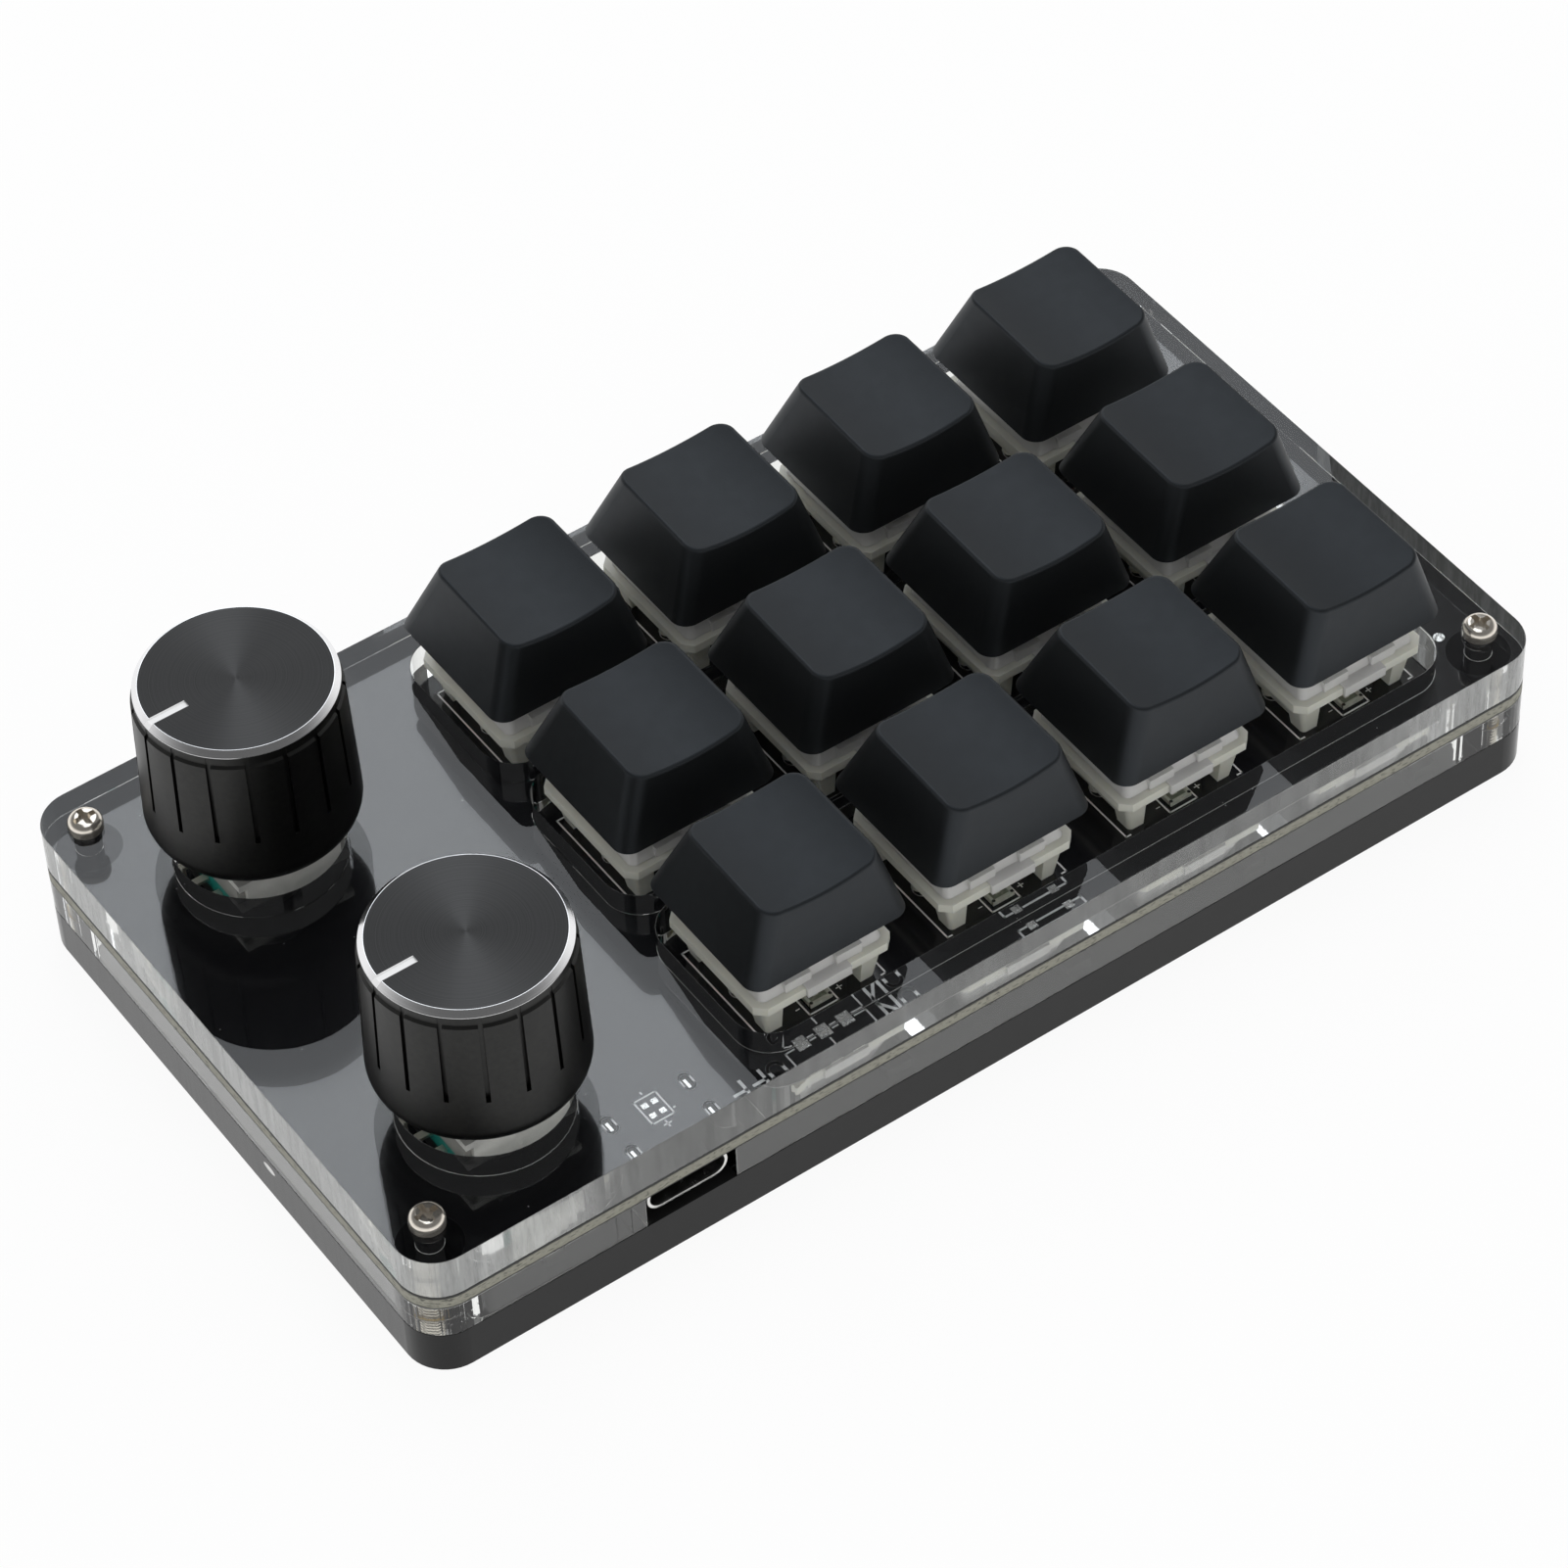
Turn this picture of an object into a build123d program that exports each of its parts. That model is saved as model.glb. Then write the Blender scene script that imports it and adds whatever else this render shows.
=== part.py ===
"""Macro keypad: twelve key switches and two push-to-turn knobs on a sandwich of acrylic sheets.

Millimetres. +X points to the knob end, +Y to the side with the USB socket, +Z up.
The origin is on the table, at the centre of the footprint.
"""
import os
from math import atan2, cos, degrees, pi, sin

from build123d import *

# ---------------------------------------------------------------- driving dimensions

# sheets
PLATE_LENGTH = 130.0
PLATE_WIDTH = 70.0
CORNER_RADIUS = 4.3
SLAB_THICKNESS = 5.0
FRAME_THICKNESS = 4.0
BOARD_THICKNESS = 1.6
COVER_THICKNESS = 5.0
FRAME_END_WALL = 6.5
FRAME_SIDE_CLEARANCE = 0.9

# key layout
KEY_PITCH = 21.2
KEY_COLUMNS = 4
KEY_ROWS = 3
CLUSTER_INSET = 48.67
CLUSTER_CENTRE_Y = -1.0
KEY_TRAVEL = 4.0

# slots in the cover, one for each row of keys
SLOT_WIDTH = 19.55
SLOT_LEFT_MARGIN = 8.77
SLOT_RIGHT_MARGIN = 9.93
SLOT_CORNER_RADIUS = 4.0

# plate screws and inserts
SCREW_INSET_X = 4.0
SCREW_INSET_Y = 5.0
SCREW_RADIUS = 1.0
SCREW_HEAD_RADIUS = 1.75
SCREW_HEAD_HEIGHT = 1.4
SCREW_HEAD_DOME = 0.8
SCREW_HOLE_CLEARANCE = 0.35
SCREW_TIP_CLEARANCE = 0.6
RECESS_SPAN = 2.3
RECESS_SLOT = 0.6
RECESS_CORE_RADIUS = 0.6
RECESS_DEPTH = 0.8
INSERT_RADIUS = 1.6
INSERT_LENGTH = 4.0
FIT_CLEARANCE = 0.03
CUT_OVERSHOOT = 1.0

# switch lower housing
HOUSING_SIZE = 14.0
HOUSING_FOOT_LENGTH = 12.4
HOUSING_FOOT_WIDTH = 13.0
HOUSING_EDGE_RADIUS = 0.5
FLANGE_SIZE = 15.6
FLANGE_UNDERSIDE = 4.2
FLANGE_THICKNESS = 1.0
FLANGE_CHAMFER = 1.0
FLOOR_THICKNESS = 1.6
CAVITY_LENGTH = 9.8
CAVITY_FRONT = 5.4
CAVITY_BACK = 3.4
RECESS_HEIGHT = 3.9
BACK_RECESS_WIDTH = 9.0
BACK_RECESS_START = 4.2
SIDE_RECESS_WIDTH = 9.2
SIDE_RECESS_START = 5.6
POST_RADIUS = 1.95
POST_REACH = 3.3
PEG_RADIUS = 0.85
PEG_REACH = 3.0
PEG_SPACING = 10.16
DRILL_CLEARANCE = 0.05
GUIDE_RADIUS = 1.15
GUIDE_END_CLEARANCE = 0.2

# switch upper housing
UPPER_TOP = 11.6
UPPER_TOP_LENGTH = 10.4
UPPER_TOP_WIDTH = 9.4
UPPER_WALL = 0.9
UPPER_CEILING = 1.2
UPPER_EDGE_RADIUS = 0.8
WINDOW_LENGTH = 7.4
WINDOW_WIDTH = 6.1
CLIP_WIDTH = 2.9
CLIP_OFFSET = 2.9
CLIP_DEPTH = 0.25
CLIP_HEIGHT = 1.2
BAR_WIDTH = 5.0
BAR_THICKNESS = 0.4
BAR_DROP = 1.0
BAR_LIP = 0.15

# switch contacts
CONTACT_WIDTH = 1.0
CONTACT_THICKNESS = 0.3
CONTACT_TOP = 2.6
CONTACT_SLOT_CLEARANCE = 0.05
CONTACT_HOLE_RADIUS = 0.75
CONTACT_PLACES = [(3.81, -2.54), (-2.54, -5.08)]

# stem
STEM_SLIDE_CLEARANCE = 0.1
STEM_CONTACT_CLEARANCE = 0.4
STEM_BLOCK_RECESS = 0.2
RAIL_SPAN = 9.0
RAIL_WIDTH = 2.4
CROSS_SPAN = 4.1
CROSS_THICKNESS = 1.25
CROSS_HEIGHT = 3.6
SPRING_POCKET_RADIUS = 2.4
SPRING_POCKET_DEPTH = 2.0
GUIDE_ROD_RADIUS = 1.0
GUIDE_ROD_OVERLAP = 0.2

# spring
SPRING_WIRE_RADIUS = 0.2
SPRING_COIL_RADIUS = 1.85
SPRING_PITCH = 1.25
SPRING_SEAT_GAP = 0.05

# keycap
CAP_SKIRT_SIZE = 18.0
CAP_BOTTOM_CLEARANCE = 0.3
CAP_HEIGHT = 8.75
CAP_TOP_LENGTH = 12.9
CAP_TOP_WIDTH = 13.5
CAP_TOP_SHIFT = 1.26
CAP_SKIRT_CORNER = 1.8
CAP_TOP_CORNER = 1.8
CAP_WALL = 1.25
CAP_BACK_DROP = 0.3
CAP_DISH_DEPTH = 0.8
CAP_CEILING_THICKNESS = 1.1
CAP_RIM_RADIUS = 0.35
CAP_POST_RADIUS = 2.75
CAP_POST_GAP = 0.3

# switch light
LED_LENGTH = 2.5
LED_WIDTH = 2.1
LED_HEIGHT = 0.5
LED_WINDOW_LENGTH = 1.9
LED_WINDOW_WIDTH = 1.5
LED_WINDOW_DEPTH = 0.15
LED_OFFSET_X = -0.15
LED_OFFSET_Y = 5.35

# knobs and encoders
KNOB_INSET = 16.85
KNOB_CENTRE_Y = 19.5
ENCODER_HOLE_RADIUS = 8.5
ENCODER_SIZE = 12.0
ENCODER_BASE_HEIGHT = 6.0
ENCODER_CAVITY_RADIUS = 4.3
ENCODER_LEDGE = 1.6
ENCODER_PIT_RADIUS = 2.4
ENCODER_PIT_FLOOR = 0.6
BRACKET_THICKNESS = 0.8
BRACKET_LEG_WIDTH = 10.4
BRACKET_LEG_THICKNESS = 0.5
BRACKET_TAB_WIDTH = 2.0
BRACKET_TAB_REACH = 3.2
BRACKET_TAB_CLEARANCE = 0.3
BUSHING_RADIUS = 3.5
BUSHING_HEIGHT = 5.0
BUSHING_GROOVE_PITCH = 0.75
BUSHING_GROOVE_DEPTH = 0.3
TERMINAL_WIDTH = 0.8
TERMINAL_THICKNESS = 0.4
TERMINAL_LIFT = 2.4
TERMINAL_STANDOFF = 1.5
TERMINAL_REACH = 3.2
TERMINAL_PITCH = 2.5
TERMINAL_HOLE_RADIUS = 0.75

SHAFT_RADIUS = 3.0
SHAFT_HEIGHT = 15.0
SHAFT_FLAT_DEPTH = 1.5
SHAFT_FLAT_LENGTH = 7.0
RUNNING_CLEARANCE = 0.05
COLLAR_RADIUS = 3.6
COLLAR_THICKNESS = 0.9
SQUARE_SIZE = 2.8
SQUARE_CLEARANCE = 0.1
PIT_END_CLEARANCE = 0.2
ROTOR_RADIUS = 4.0
ROTOR_TOP_CLEARANCE = 0.4
PRESS_TRAVEL = 0.5

KNOB_LIFT = 1.6
KNOB_HEIGHT = 17.8
KNOB_FOOT_RADIUS = 8.6
KNOB_BELLY_RADIUS = 10.45
KNOB_BELLY_HEIGHT = 2.2
KNOB_SHOULDER_RADIUS = 10.0
KNOB_SHOULDER_HEIGHT = 16.0
KNOB_NECK_RADIUS = 9.75
KNOB_BEVEL = 0.55
KNOB_BUSHING_CLEARANCE = 3.0
KNOB_BUSHING_HEADROOM = 1.2
GROOVE_COUNT = 17
GROOVE_WIDTH = 0.45
GROOVE_DEPTH = 0.3
GROOVE_BOTTOM_HEIGHT = 6.2
POINTER_INNER_RADIUS = 5.35
POINTER_WIDTH = 0.75
POINTER_DEPTH = 0.15

# USB socket
USB_INSET = 28.9
USB_WIDTH = 8.94
USB_HEIGHT = 3.2
USB_WALL = 0.3
USB_LENGTH = 7.3
USB_EDGE_SETBACK = 0.7
USB_NOTCH_WIDTH = 10.0
USB_TAB_WIDTH = 1.1
USB_TAB_RISE = 1.3
USB_TAB_POSITIONS = [1.4, 5.5]
USB_TAB_SLOT_CLEARANCE = 0.3
TONGUE_WIDTH = 6.7
TONGUE_THICKNESS = 0.7
TONGUE_SETBACK = 0.7
TONGUE_BLOCK_LENGTH = 1.5
TONGUE_BLOCK_SIDE_GAP = 1.2

# small parts under the board
CHIP_SIZE = 10.0
CHIP_THICKNESS = 1.2
CHIP_Y = 6.0
DIODE_SIZE = (2.7, 1.6, 1.1)
DIODE_OFFSET = (-5.6, 6.6)
CRYSTAL_SIZE = (3.2, 2.5, 0.8)
CRYSTAL_OFFSET = (-9.1, 4.0)
REGULATOR_SIZE = (2.9, 1.6, 1.1)
REGULATOR_OFFSET = (9.9, -4.0)
CAPACITOR_SIZE = (1.6, 0.8, 0.8)
CAPACITOR_OFFSETS = [(-8.1, -2.0), (-8.1, -4.5), (8.4, 3.5), (-0.1, -9.0)]

# ---------------------------------------------------------------- places worked out from them

FRAME_Z = SLAB_THICKNESS
BOARD_Z = FRAME_Z + FRAME_THICKNESS
BOARD_TOP = BOARD_Z + BOARD_THICKNESS
COVER_TOP = BOARD_TOP + COVER_THICKNESS

CLUSTER_CENTRE_X = CLUSTER_INSET - PLATE_LENGTH / 2
KNOB_CENTRE_X = PLATE_LENGTH / 2 - KNOB_INSET
USB_CENTRE_X = PLATE_LENGTH / 2 - USB_INSET
COLUMN_REACH = (KEY_COLUMNS - 1) / 2 * KEY_PITCH
ROW_REACH = (KEY_ROWS - 1) / 2 * KEY_PITCH
SLOT_LEFT = CLUSTER_CENTRE_X - COLUMN_REACH - SLOT_LEFT_MARGIN
SLOT_RIGHT = CLUSTER_CENTRE_X + COLUMN_REACH + SLOT_RIGHT_MARGIN
DIODE_EDGE_Y = CLUSTER_CENTRE_Y + ROW_REACH + DIODE_OFFSET[1] + DIODE_SIZE[1] / 2

FLANGE_TOP = FLANGE_UNDERSIDE + FLANGE_THICKNESS
UPPER_CEILING_UNDERSIDE = UPPER_TOP - UPPER_CEILING
STEM_UNDERSIDE = CONTACT_TOP + STEM_CONTACT_CLEARANCE + KEY_TRAVEL
STEM_BLOCK_TOP = UPPER_TOP - STEM_BLOCK_RECESS
ROD_END = FLOOR_THICKNESS - GUIDE_ROD_OVERLAP
GUIDE_END = ROD_END - KEY_TRAVEL - GUIDE_END_CLEARANCE
CROSS_TOP = UPPER_TOP + CROSS_HEIGHT
CAP_SKIRT_LIFT = FLANGE_TOP + CAP_BOTTOM_CLEARANCE + KEY_TRAVEL

BRACKET_UNDERSIDE = BOARD_TOP + ENCODER_BASE_HEIGHT
BUSHING_Z = BRACKET_UNDERSIDE + BRACKET_THICKNESS
SHAFT_TOP = BUSHING_Z + SHAFT_HEIGHT
SQUARE_END = ENCODER_PIT_FLOOR + PIT_END_CLEARANCE + PRESS_TRAVEL
ROTOR_TOP = ENCODER_BASE_HEIGHT - COLLAR_THICKNESS - PRESS_TRAVEL - ROTOR_TOP_CLEARANCE
KNOB_BOTTOM = BUSHING_Z + KNOB_LIFT
KNOB_TOP = KNOB_BOTTOM + KNOB_HEIGHT
KNOB_SHOULDER_Z = KNOB_BOTTOM + KNOB_SHOULDER_HEIGHT
GROOVE_BOTTOM_Z = KNOB_BOTTOM + GROOVE_BOTTOM_HEIGHT

SCREW_PLACES = [
    (sx * (PLATE_LENGTH / 2 - SCREW_INSET_X), sy * (PLATE_WIDTH / 2 - SCREW_INSET_Y))
    for sx in (-1, 1)
    for sy in (-1, 1)
]
KNOB_PLACES = {"front": (KNOB_CENTRE_X, -KNOB_CENTRE_Y), "back": (KNOB_CENTRE_X, KNOB_CENTRE_Y)}


def key_places():
    """Name and centre of each key: c1 is the column furthest from the knobs, r1 the front row."""
    places = {}
    for column in range(KEY_COLUMNS):
        for row in range(KEY_ROWS):
            x = CLUSTER_CENTRE_X - COLUMN_REACH + column * KEY_PITCH
            y = CLUSTER_CENTRE_Y - ROW_REACH + row * KEY_PITCH
            places[f"c{column + 1}r{row + 1}"] = (x, y)
    return places


KEY_PLACES = key_places()


# ---------------------------------------------------------------- helpers

def block(x0, x1, y0, y1, z0, z1):
    """Box from its low and high corners."""
    centre = Pos((x0 + x1) / 2, (y0 + y1) / 2, (z0 + z1) / 2)
    return centre * Box(x1 - x0, y1 - y0, z1 - z0)


def centred_block(length, width, z0, z1, x=0.0, y=0.0):
    """Box centred on a place, between two heights."""
    return block(x - length / 2, x + length / 2, y - width / 2, y + width / 2, z0, z1)


def rod(radius, z0, z1, x=0.0, y=0.0):
    """Upright cylinder between two heights."""
    return Pos(x, y, (z0 + z1) / 2) * Cylinder(radius, z1 - z0)


def rounded_sheet(length, width, radius, z0, z1, x=0.0, y=0.0):
    """Flat sheet with rounded corners."""
    outline = Plane.XY.offset(z0) * Pos(x, y) * RectangleRounded(length, width, radius)
    return extrude(outline, z1 - z0)


def taper(bottom, top, z0, z1, bottom_radius, top_radius, top_shift=0.0):
    """Loft between two rounded rectangles, the upper one shifted along Y."""
    low = Plane.XY.offset(z0) * RectangleRounded(bottom[0], bottom[1], bottom_radius)
    high = Plane.XY.offset(z1) * Pos(0, top_shift) * RectangleRounded(top[0], top[1], top_radius)
    return loft([low, high])


def at_keys(piece):
    """One copy of a piece at each key."""
    return [Pos(x, y, 0) * piece for x, y in KEY_PLACES.values()]


def at_knobs(piece):
    """One copy of a piece at each knob."""
    return [Pos(x, y, 0) * piece for x, y in KNOB_PLACES.values()]


def save(name, shape):
    """Write one node. A list is kept as a group of separate solids."""
    solid = Compound(children=list(shape)) if isinstance(shape, list) else shape
    solid.label = name
    export_step(solid, f"parts/{name}.step")


# ---------------------------------------------------------------- sheets

def screw_holes(z0, z1):
    """The four clearance holes for the plate screws, through one sheet."""
    radius = SCREW_RADIUS + SCREW_HOLE_CLEARANCE
    return [rod(radius, z0, z1, x, y) for x, y in SCREW_PLACES]


def bottom_plate():
    """Black slab with a blind hole for each insert."""
    plate = rounded_sheet(PLATE_LENGTH, PLATE_WIDTH, CORNER_RADIUS, 0, SLAB_THICKNESS)
    for x, y in SCREW_PLACES:
        plate -= rod(INSERT_RADIUS + FIT_CLEARANCE, SLAB_THICKNESS - INSERT_LENGTH, SLAB_THICKNESS, x, y)
    return plate


def clear_frame():
    """Spacer ring round the parts under the board, notched where the USB plug goes in."""
    inner_radius = CORNER_RADIUS / 2
    inner_length = PLATE_LENGTH - 2 * FRAME_END_WALL
    inner_width = 2 * (DIODE_EDGE_Y + FRAME_SIDE_CLEARANCE)
    frame = rounded_sheet(PLATE_LENGTH, PLATE_WIDTH, CORNER_RADIUS, FRAME_Z, BOARD_Z)
    frame -= rounded_sheet(inner_length, inner_width, inner_radius, FRAME_Z, BOARD_Z)
    notch_half = USB_NOTCH_WIDTH / 2
    frame -= block(USB_CENTRE_X - notch_half, USB_CENTRE_X + notch_half,
                   inner_width / 2 - CUT_OVERSHOOT, PLATE_WIDTH / 2 + CUT_OVERSHOOT, FRAME_Z, BOARD_Z)
    for hole in screw_holes(FRAME_Z, BOARD_Z):
        frame -= hole
    return frame


def switch_drillings():
    """Board holes for one switch: centre post, two pegs and two contacts."""
    holes = [rod(POST_RADIUS + DRILL_CLEARANCE, BOARD_Z, BOARD_TOP)]
    for side in (-1, 1):
        holes.append(rod(PEG_RADIUS + DRILL_CLEARANCE, BOARD_Z, BOARD_TOP, side * PEG_SPACING / 2))
    for x, y in CONTACT_PLACES:
        holes.append(rod(CONTACT_HOLE_RADIUS, BOARD_Z, BOARD_TOP, x, y))
    return holes


def terminal_places():
    """Board holes of one encoder: three signal terminals at +X and two switch terminals at -X."""
    x = ENCODER_SIZE / 2 + TERMINAL_STANDOFF - TERMINAL_THICKNESS / 2
    signals = [(x, k * TERMINAL_PITCH) for k in (-1, 0, 1)]
    switch = [(-x, k * TERMINAL_PITCH) for k in (-1, 1)]
    return signals + switch


def encoder_drillings():
    """Board holes for one encoder: five terminals and two bracket tabs."""
    holes = [rod(TERMINAL_HOLE_RADIUS, BOARD_Z, BOARD_TOP, x, y) for x, y in terminal_places()]
    tab_length = BRACKET_TAB_WIDTH + 2 * BRACKET_TAB_CLEARANCE
    tab_width = BRACKET_LEG_THICKNESS + 2 * BRACKET_TAB_CLEARANCE
    tab_y = ENCODER_SIZE / 2 + BRACKET_LEG_THICKNESS / 2
    for side in (-1, 1):
        holes.append(centred_block(tab_length, tab_width, BOARD_Z, BOARD_TOP, 0, side * tab_y))
    return holes


def usb_mouth_y():
    """Where the socket's mouth is, a little inside the edge of the sheets."""
    return PLATE_WIDTH / 2 - USB_EDGE_SETBACK


def usb_tab_places():
    """Centres of the socket's four solder tabs."""
    x = USB_WIDTH / 2 - USB_WALL / 2
    back = usb_mouth_y() - USB_LENGTH
    return [(USB_CENTRE_X + side * x, back + along) for side in (-1, 1) for along in USB_TAB_POSITIONS]


def circuit_board():
    """Board with all of its holes."""
    board = rounded_sheet(PLATE_LENGTH, PLATE_WIDTH, CORNER_RADIUS, BOARD_Z, BOARD_TOP)
    cuts = screw_holes(BOARD_Z, BOARD_TOP)
    for hole in switch_drillings():
        cuts += at_keys(hole)
    for hole in encoder_drillings():
        cuts += at_knobs(hole)
    for x, y in usb_tab_places():
        length = USB_WALL + 2 * USB_TAB_SLOT_CLEARANCE
        width = USB_TAB_WIDTH + 2 * USB_TAB_SLOT_CLEARANCE
        cuts.append(centred_block(length, width, BOARD_Z, BOARD_TOP, x, y))
    return board - cuts


def top_plate():
    """Clear cover with one long slot for each row of keys and a round hole for each encoder."""
    plate = rounded_sheet(PLATE_LENGTH, PLATE_WIDTH, CORNER_RADIUS, BOARD_TOP, COVER_TOP)
    cuts = screw_holes(BOARD_TOP, COVER_TOP)
    slot_length = SLOT_RIGHT - SLOT_LEFT
    slot_x = (SLOT_RIGHT + SLOT_LEFT) / 2
    for row in range(KEY_ROWS):
        y = row * KEY_PITCH - ROW_REACH
        cuts.append(rounded_sheet(slot_length, SLOT_WIDTH, SLOT_CORNER_RADIUS, BOARD_TOP, COVER_TOP,
                                  slot_x, y))
    cuts += at_knobs(rod(ENCODER_HOLE_RADIUS, BOARD_TOP, COVER_TOP))
    return plate - cuts


# ---------------------------------------------------------------- fasteners

def plate_screw():
    """Pan-head screw with a cross recess that widens at its core, its head on the cover."""
    tip_z = SLAB_THICKNESS - INSERT_LENGTH + SCREW_TIP_CLEARANCE
    head = rod(SCREW_HEAD_RADIUS, COVER_TOP, COVER_TOP + SCREW_HEAD_HEIGHT)
    head = fillet(head.edges().group_by(Axis.Z)[-1], SCREW_HEAD_DOME)
    screw = head + rod(SCREW_RADIUS, tip_z, COVER_TOP)
    recess_top = COVER_TOP + SCREW_HEAD_HEIGHT
    recess_bottom = recess_top - RECESS_DEPTH
    screw -= centred_block(RECESS_SPAN, RECESS_SLOT, recess_bottom, recess_top)
    screw -= centred_block(RECESS_SLOT, RECESS_SPAN, recess_bottom, recess_top)
    return screw - rod(RECESS_CORE_RADIUS, recess_bottom, recess_top)


def screw_insert():
    """Threaded sleeve pressed into the slab."""
    bottom = SLAB_THICKNESS - INSERT_LENGTH
    sleeve = rod(INSERT_RADIUS, bottom, SLAB_THICKNESS)
    return sleeve - rod(SCREW_RADIUS + FIT_CLEARANCE, bottom, SLAB_THICKNESS)


# ---------------------------------------------------------------- switches

def lower_housing():
    """Cream lower housing: four feet on the board, flange, centre post, pegs and a recess over the light."""
    z = BOARD_TOP
    foot_size = (HOUSING_FOOT_LENGTH, HOUSING_FOOT_WIDTH)
    body = taper(foot_size, (HOUSING_SIZE, HOUSING_SIZE), z, z + FLANGE_UNDERSIDE,
                 HOUSING_EDGE_RADIUS, HOUSING_EDGE_RADIUS)
    flange = centred_block(FLANGE_SIZE, FLANGE_SIZE, z + FLANGE_UNDERSIDE, z + FLANGE_TOP)
    flange = chamfer(flange.edges().filter_by(Axis.Z), FLANGE_CHAMFER)
    housing = body + flange
    half = CAVITY_LENGTH / 2
    housing -= block(-half, half, -CAVITY_FRONT, CAVITY_BACK, z + FLOOR_THICKNESS, z + FLANGE_TOP)
    housing -= block(-BACK_RECESS_WIDTH / 2, BACK_RECESS_WIDTH / 2, BACK_RECESS_START, FLANGE_SIZE,
                     z, z + RECESS_HEIGHT)
    for side in (-1, 1):
        x0, x1 = sorted((side * SIDE_RECESS_START, side * FLANGE_SIZE))
        housing -= block(x0, x1, -SIDE_RECESS_WIDTH / 2, SIDE_RECESS_WIDTH / 2, z, z + RECESS_HEIGHT)
    housing += rod(POST_RADIUS, z - POST_REACH, z)
    for side in (-1, 1):
        housing += rod(PEG_RADIUS, z - PEG_REACH, z, side * PEG_SPACING / 2)
    housing -= rod(GUIDE_RADIUS, z + GUIDE_END, z + FLOOR_THICKNESS)
    slot_width = CONTACT_WIDTH + 2 * CONTACT_SLOT_CLEARANCE
    slot_depth = CONTACT_THICKNESS + 2 * CONTACT_SLOT_CLEARANCE
    for x, y in CONTACT_PLACES:
        housing -= centred_block(slot_width, slot_depth, z, z + FLOOR_THICKNESS, x, y)
    return housing


def upper_housing():
    """Clear upper housing: window for the stem, latch clips on two sides and a bar over the flange between them."""
    z0 = BOARD_TOP + FLANGE_TOP
    z1 = BOARD_TOP + UPPER_TOP
    ceiling = BOARD_TOP + UPPER_CEILING_UNDERSIDE
    shrink = 2 * UPPER_WALL
    share = (ceiling - z0) / (z1 - z0)
    inner_top = (
        HOUSING_SIZE - share * (HOUSING_SIZE - UPPER_TOP_LENGTH) - shrink,
        HOUSING_SIZE - share * (HOUSING_SIZE - UPPER_TOP_WIDTH) - shrink,
    )
    inner_bottom = (HOUSING_SIZE - shrink, HOUSING_SIZE - shrink)
    shell = taper((HOUSING_SIZE, HOUSING_SIZE), (UPPER_TOP_LENGTH, UPPER_TOP_WIDTH), z0, z1,
                  UPPER_EDGE_RADIUS, UPPER_EDGE_RADIUS)
    shell -= centred_block(WINDOW_LENGTH, WINDOW_WIDTH, ceiling, z1)
    clip_start = HOUSING_SIZE / 2 - 2 * UPPER_WALL
    flange_face = FLANGE_SIZE / 2
    bar_face = flange_face + BAR_THICKNESS
    half_bar = BAR_WIDTH / 2
    for side in (-1, 1):
        y0, y1 = sorted((side * clip_start, side * (HOUSING_SIZE / 2 + CLIP_DEPTH)))
        for place in (-1, 1):
            x = place * CLIP_OFFSET
            shell += block(x - CLIP_WIDTH / 2, x + CLIP_WIDTH / 2, y0, y1, z0, z0 + CLIP_HEIGHT)
        y0, y1 = sorted((side * clip_start, side * bar_face))
        shell += block(-half_bar, half_bar, y0, y1, z0, z0 + BAR_LIP)
        y0, y1 = sorted((side * flange_face, side * bar_face))
        shell += block(-half_bar, half_bar, y0, y1, z0 - BAR_DROP, z0 + BAR_LIP)
    shell -= taper(inner_bottom, inner_top, z0, ceiling, UPPER_EDGE_RADIUS / 2, UPPER_EDGE_RADIUS / 2)
    return shell


def contact(x, y):
    """One contact blade, from inside the housing through the board."""
    return centred_block(CONTACT_WIDTH, CONTACT_THICKNESS, BOARD_TOP - POST_REACH,
                         BOARD_TOP + CONTACT_TOP, x, y)


def switch_led():
    """Flat light package with its window, on the board under the back of the switch."""
    x, y = LED_OFFSET_X, LED_OFFSET_Y
    top = BOARD_TOP + LED_HEIGHT
    package = centred_block(LED_LENGTH, LED_WIDTH, BOARD_TOP, top, x, y)
    return package - centred_block(LED_WINDOW_LENGTH, LED_WINDOW_WIDTH, top - LED_WINDOW_DEPTH, top, x, y)


def cross(size, thickness, z0, z1):
    """Cross-shaped post."""
    return centred_block(size, thickness, z0, z1) + centred_block(thickness, size, z0, z1)


def stem():
    """Slider of the switch: block in the window, rails under the ceiling, cross above, rod below."""
    z = BOARD_TOP
    length = WINDOW_LENGTH - 2 * STEM_SLIDE_CLEARANCE
    width = WINDOW_WIDTH - 2 * STEM_SLIDE_CLEARANCE
    pocket_top = z + STEM_UNDERSIDE + SPRING_POCKET_DEPTH
    slider = centred_block(length, width, z + STEM_UNDERSIDE, z + STEM_BLOCK_TOP)
    slider += centred_block(RAIL_SPAN, RAIL_WIDTH, z + STEM_UNDERSIDE, z + UPPER_CEILING_UNDERSIDE)
    slider -= rod(SPRING_POCKET_RADIUS, z + STEM_UNDERSIDE, pocket_top)
    slider += rod(GUIDE_ROD_RADIUS, z + ROD_END, pocket_top)
    slider += cross(CROSS_SPAN, CROSS_THICKNESS, z + STEM_BLOCK_TOP, z + CROSS_TOP)
    return slider


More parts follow.
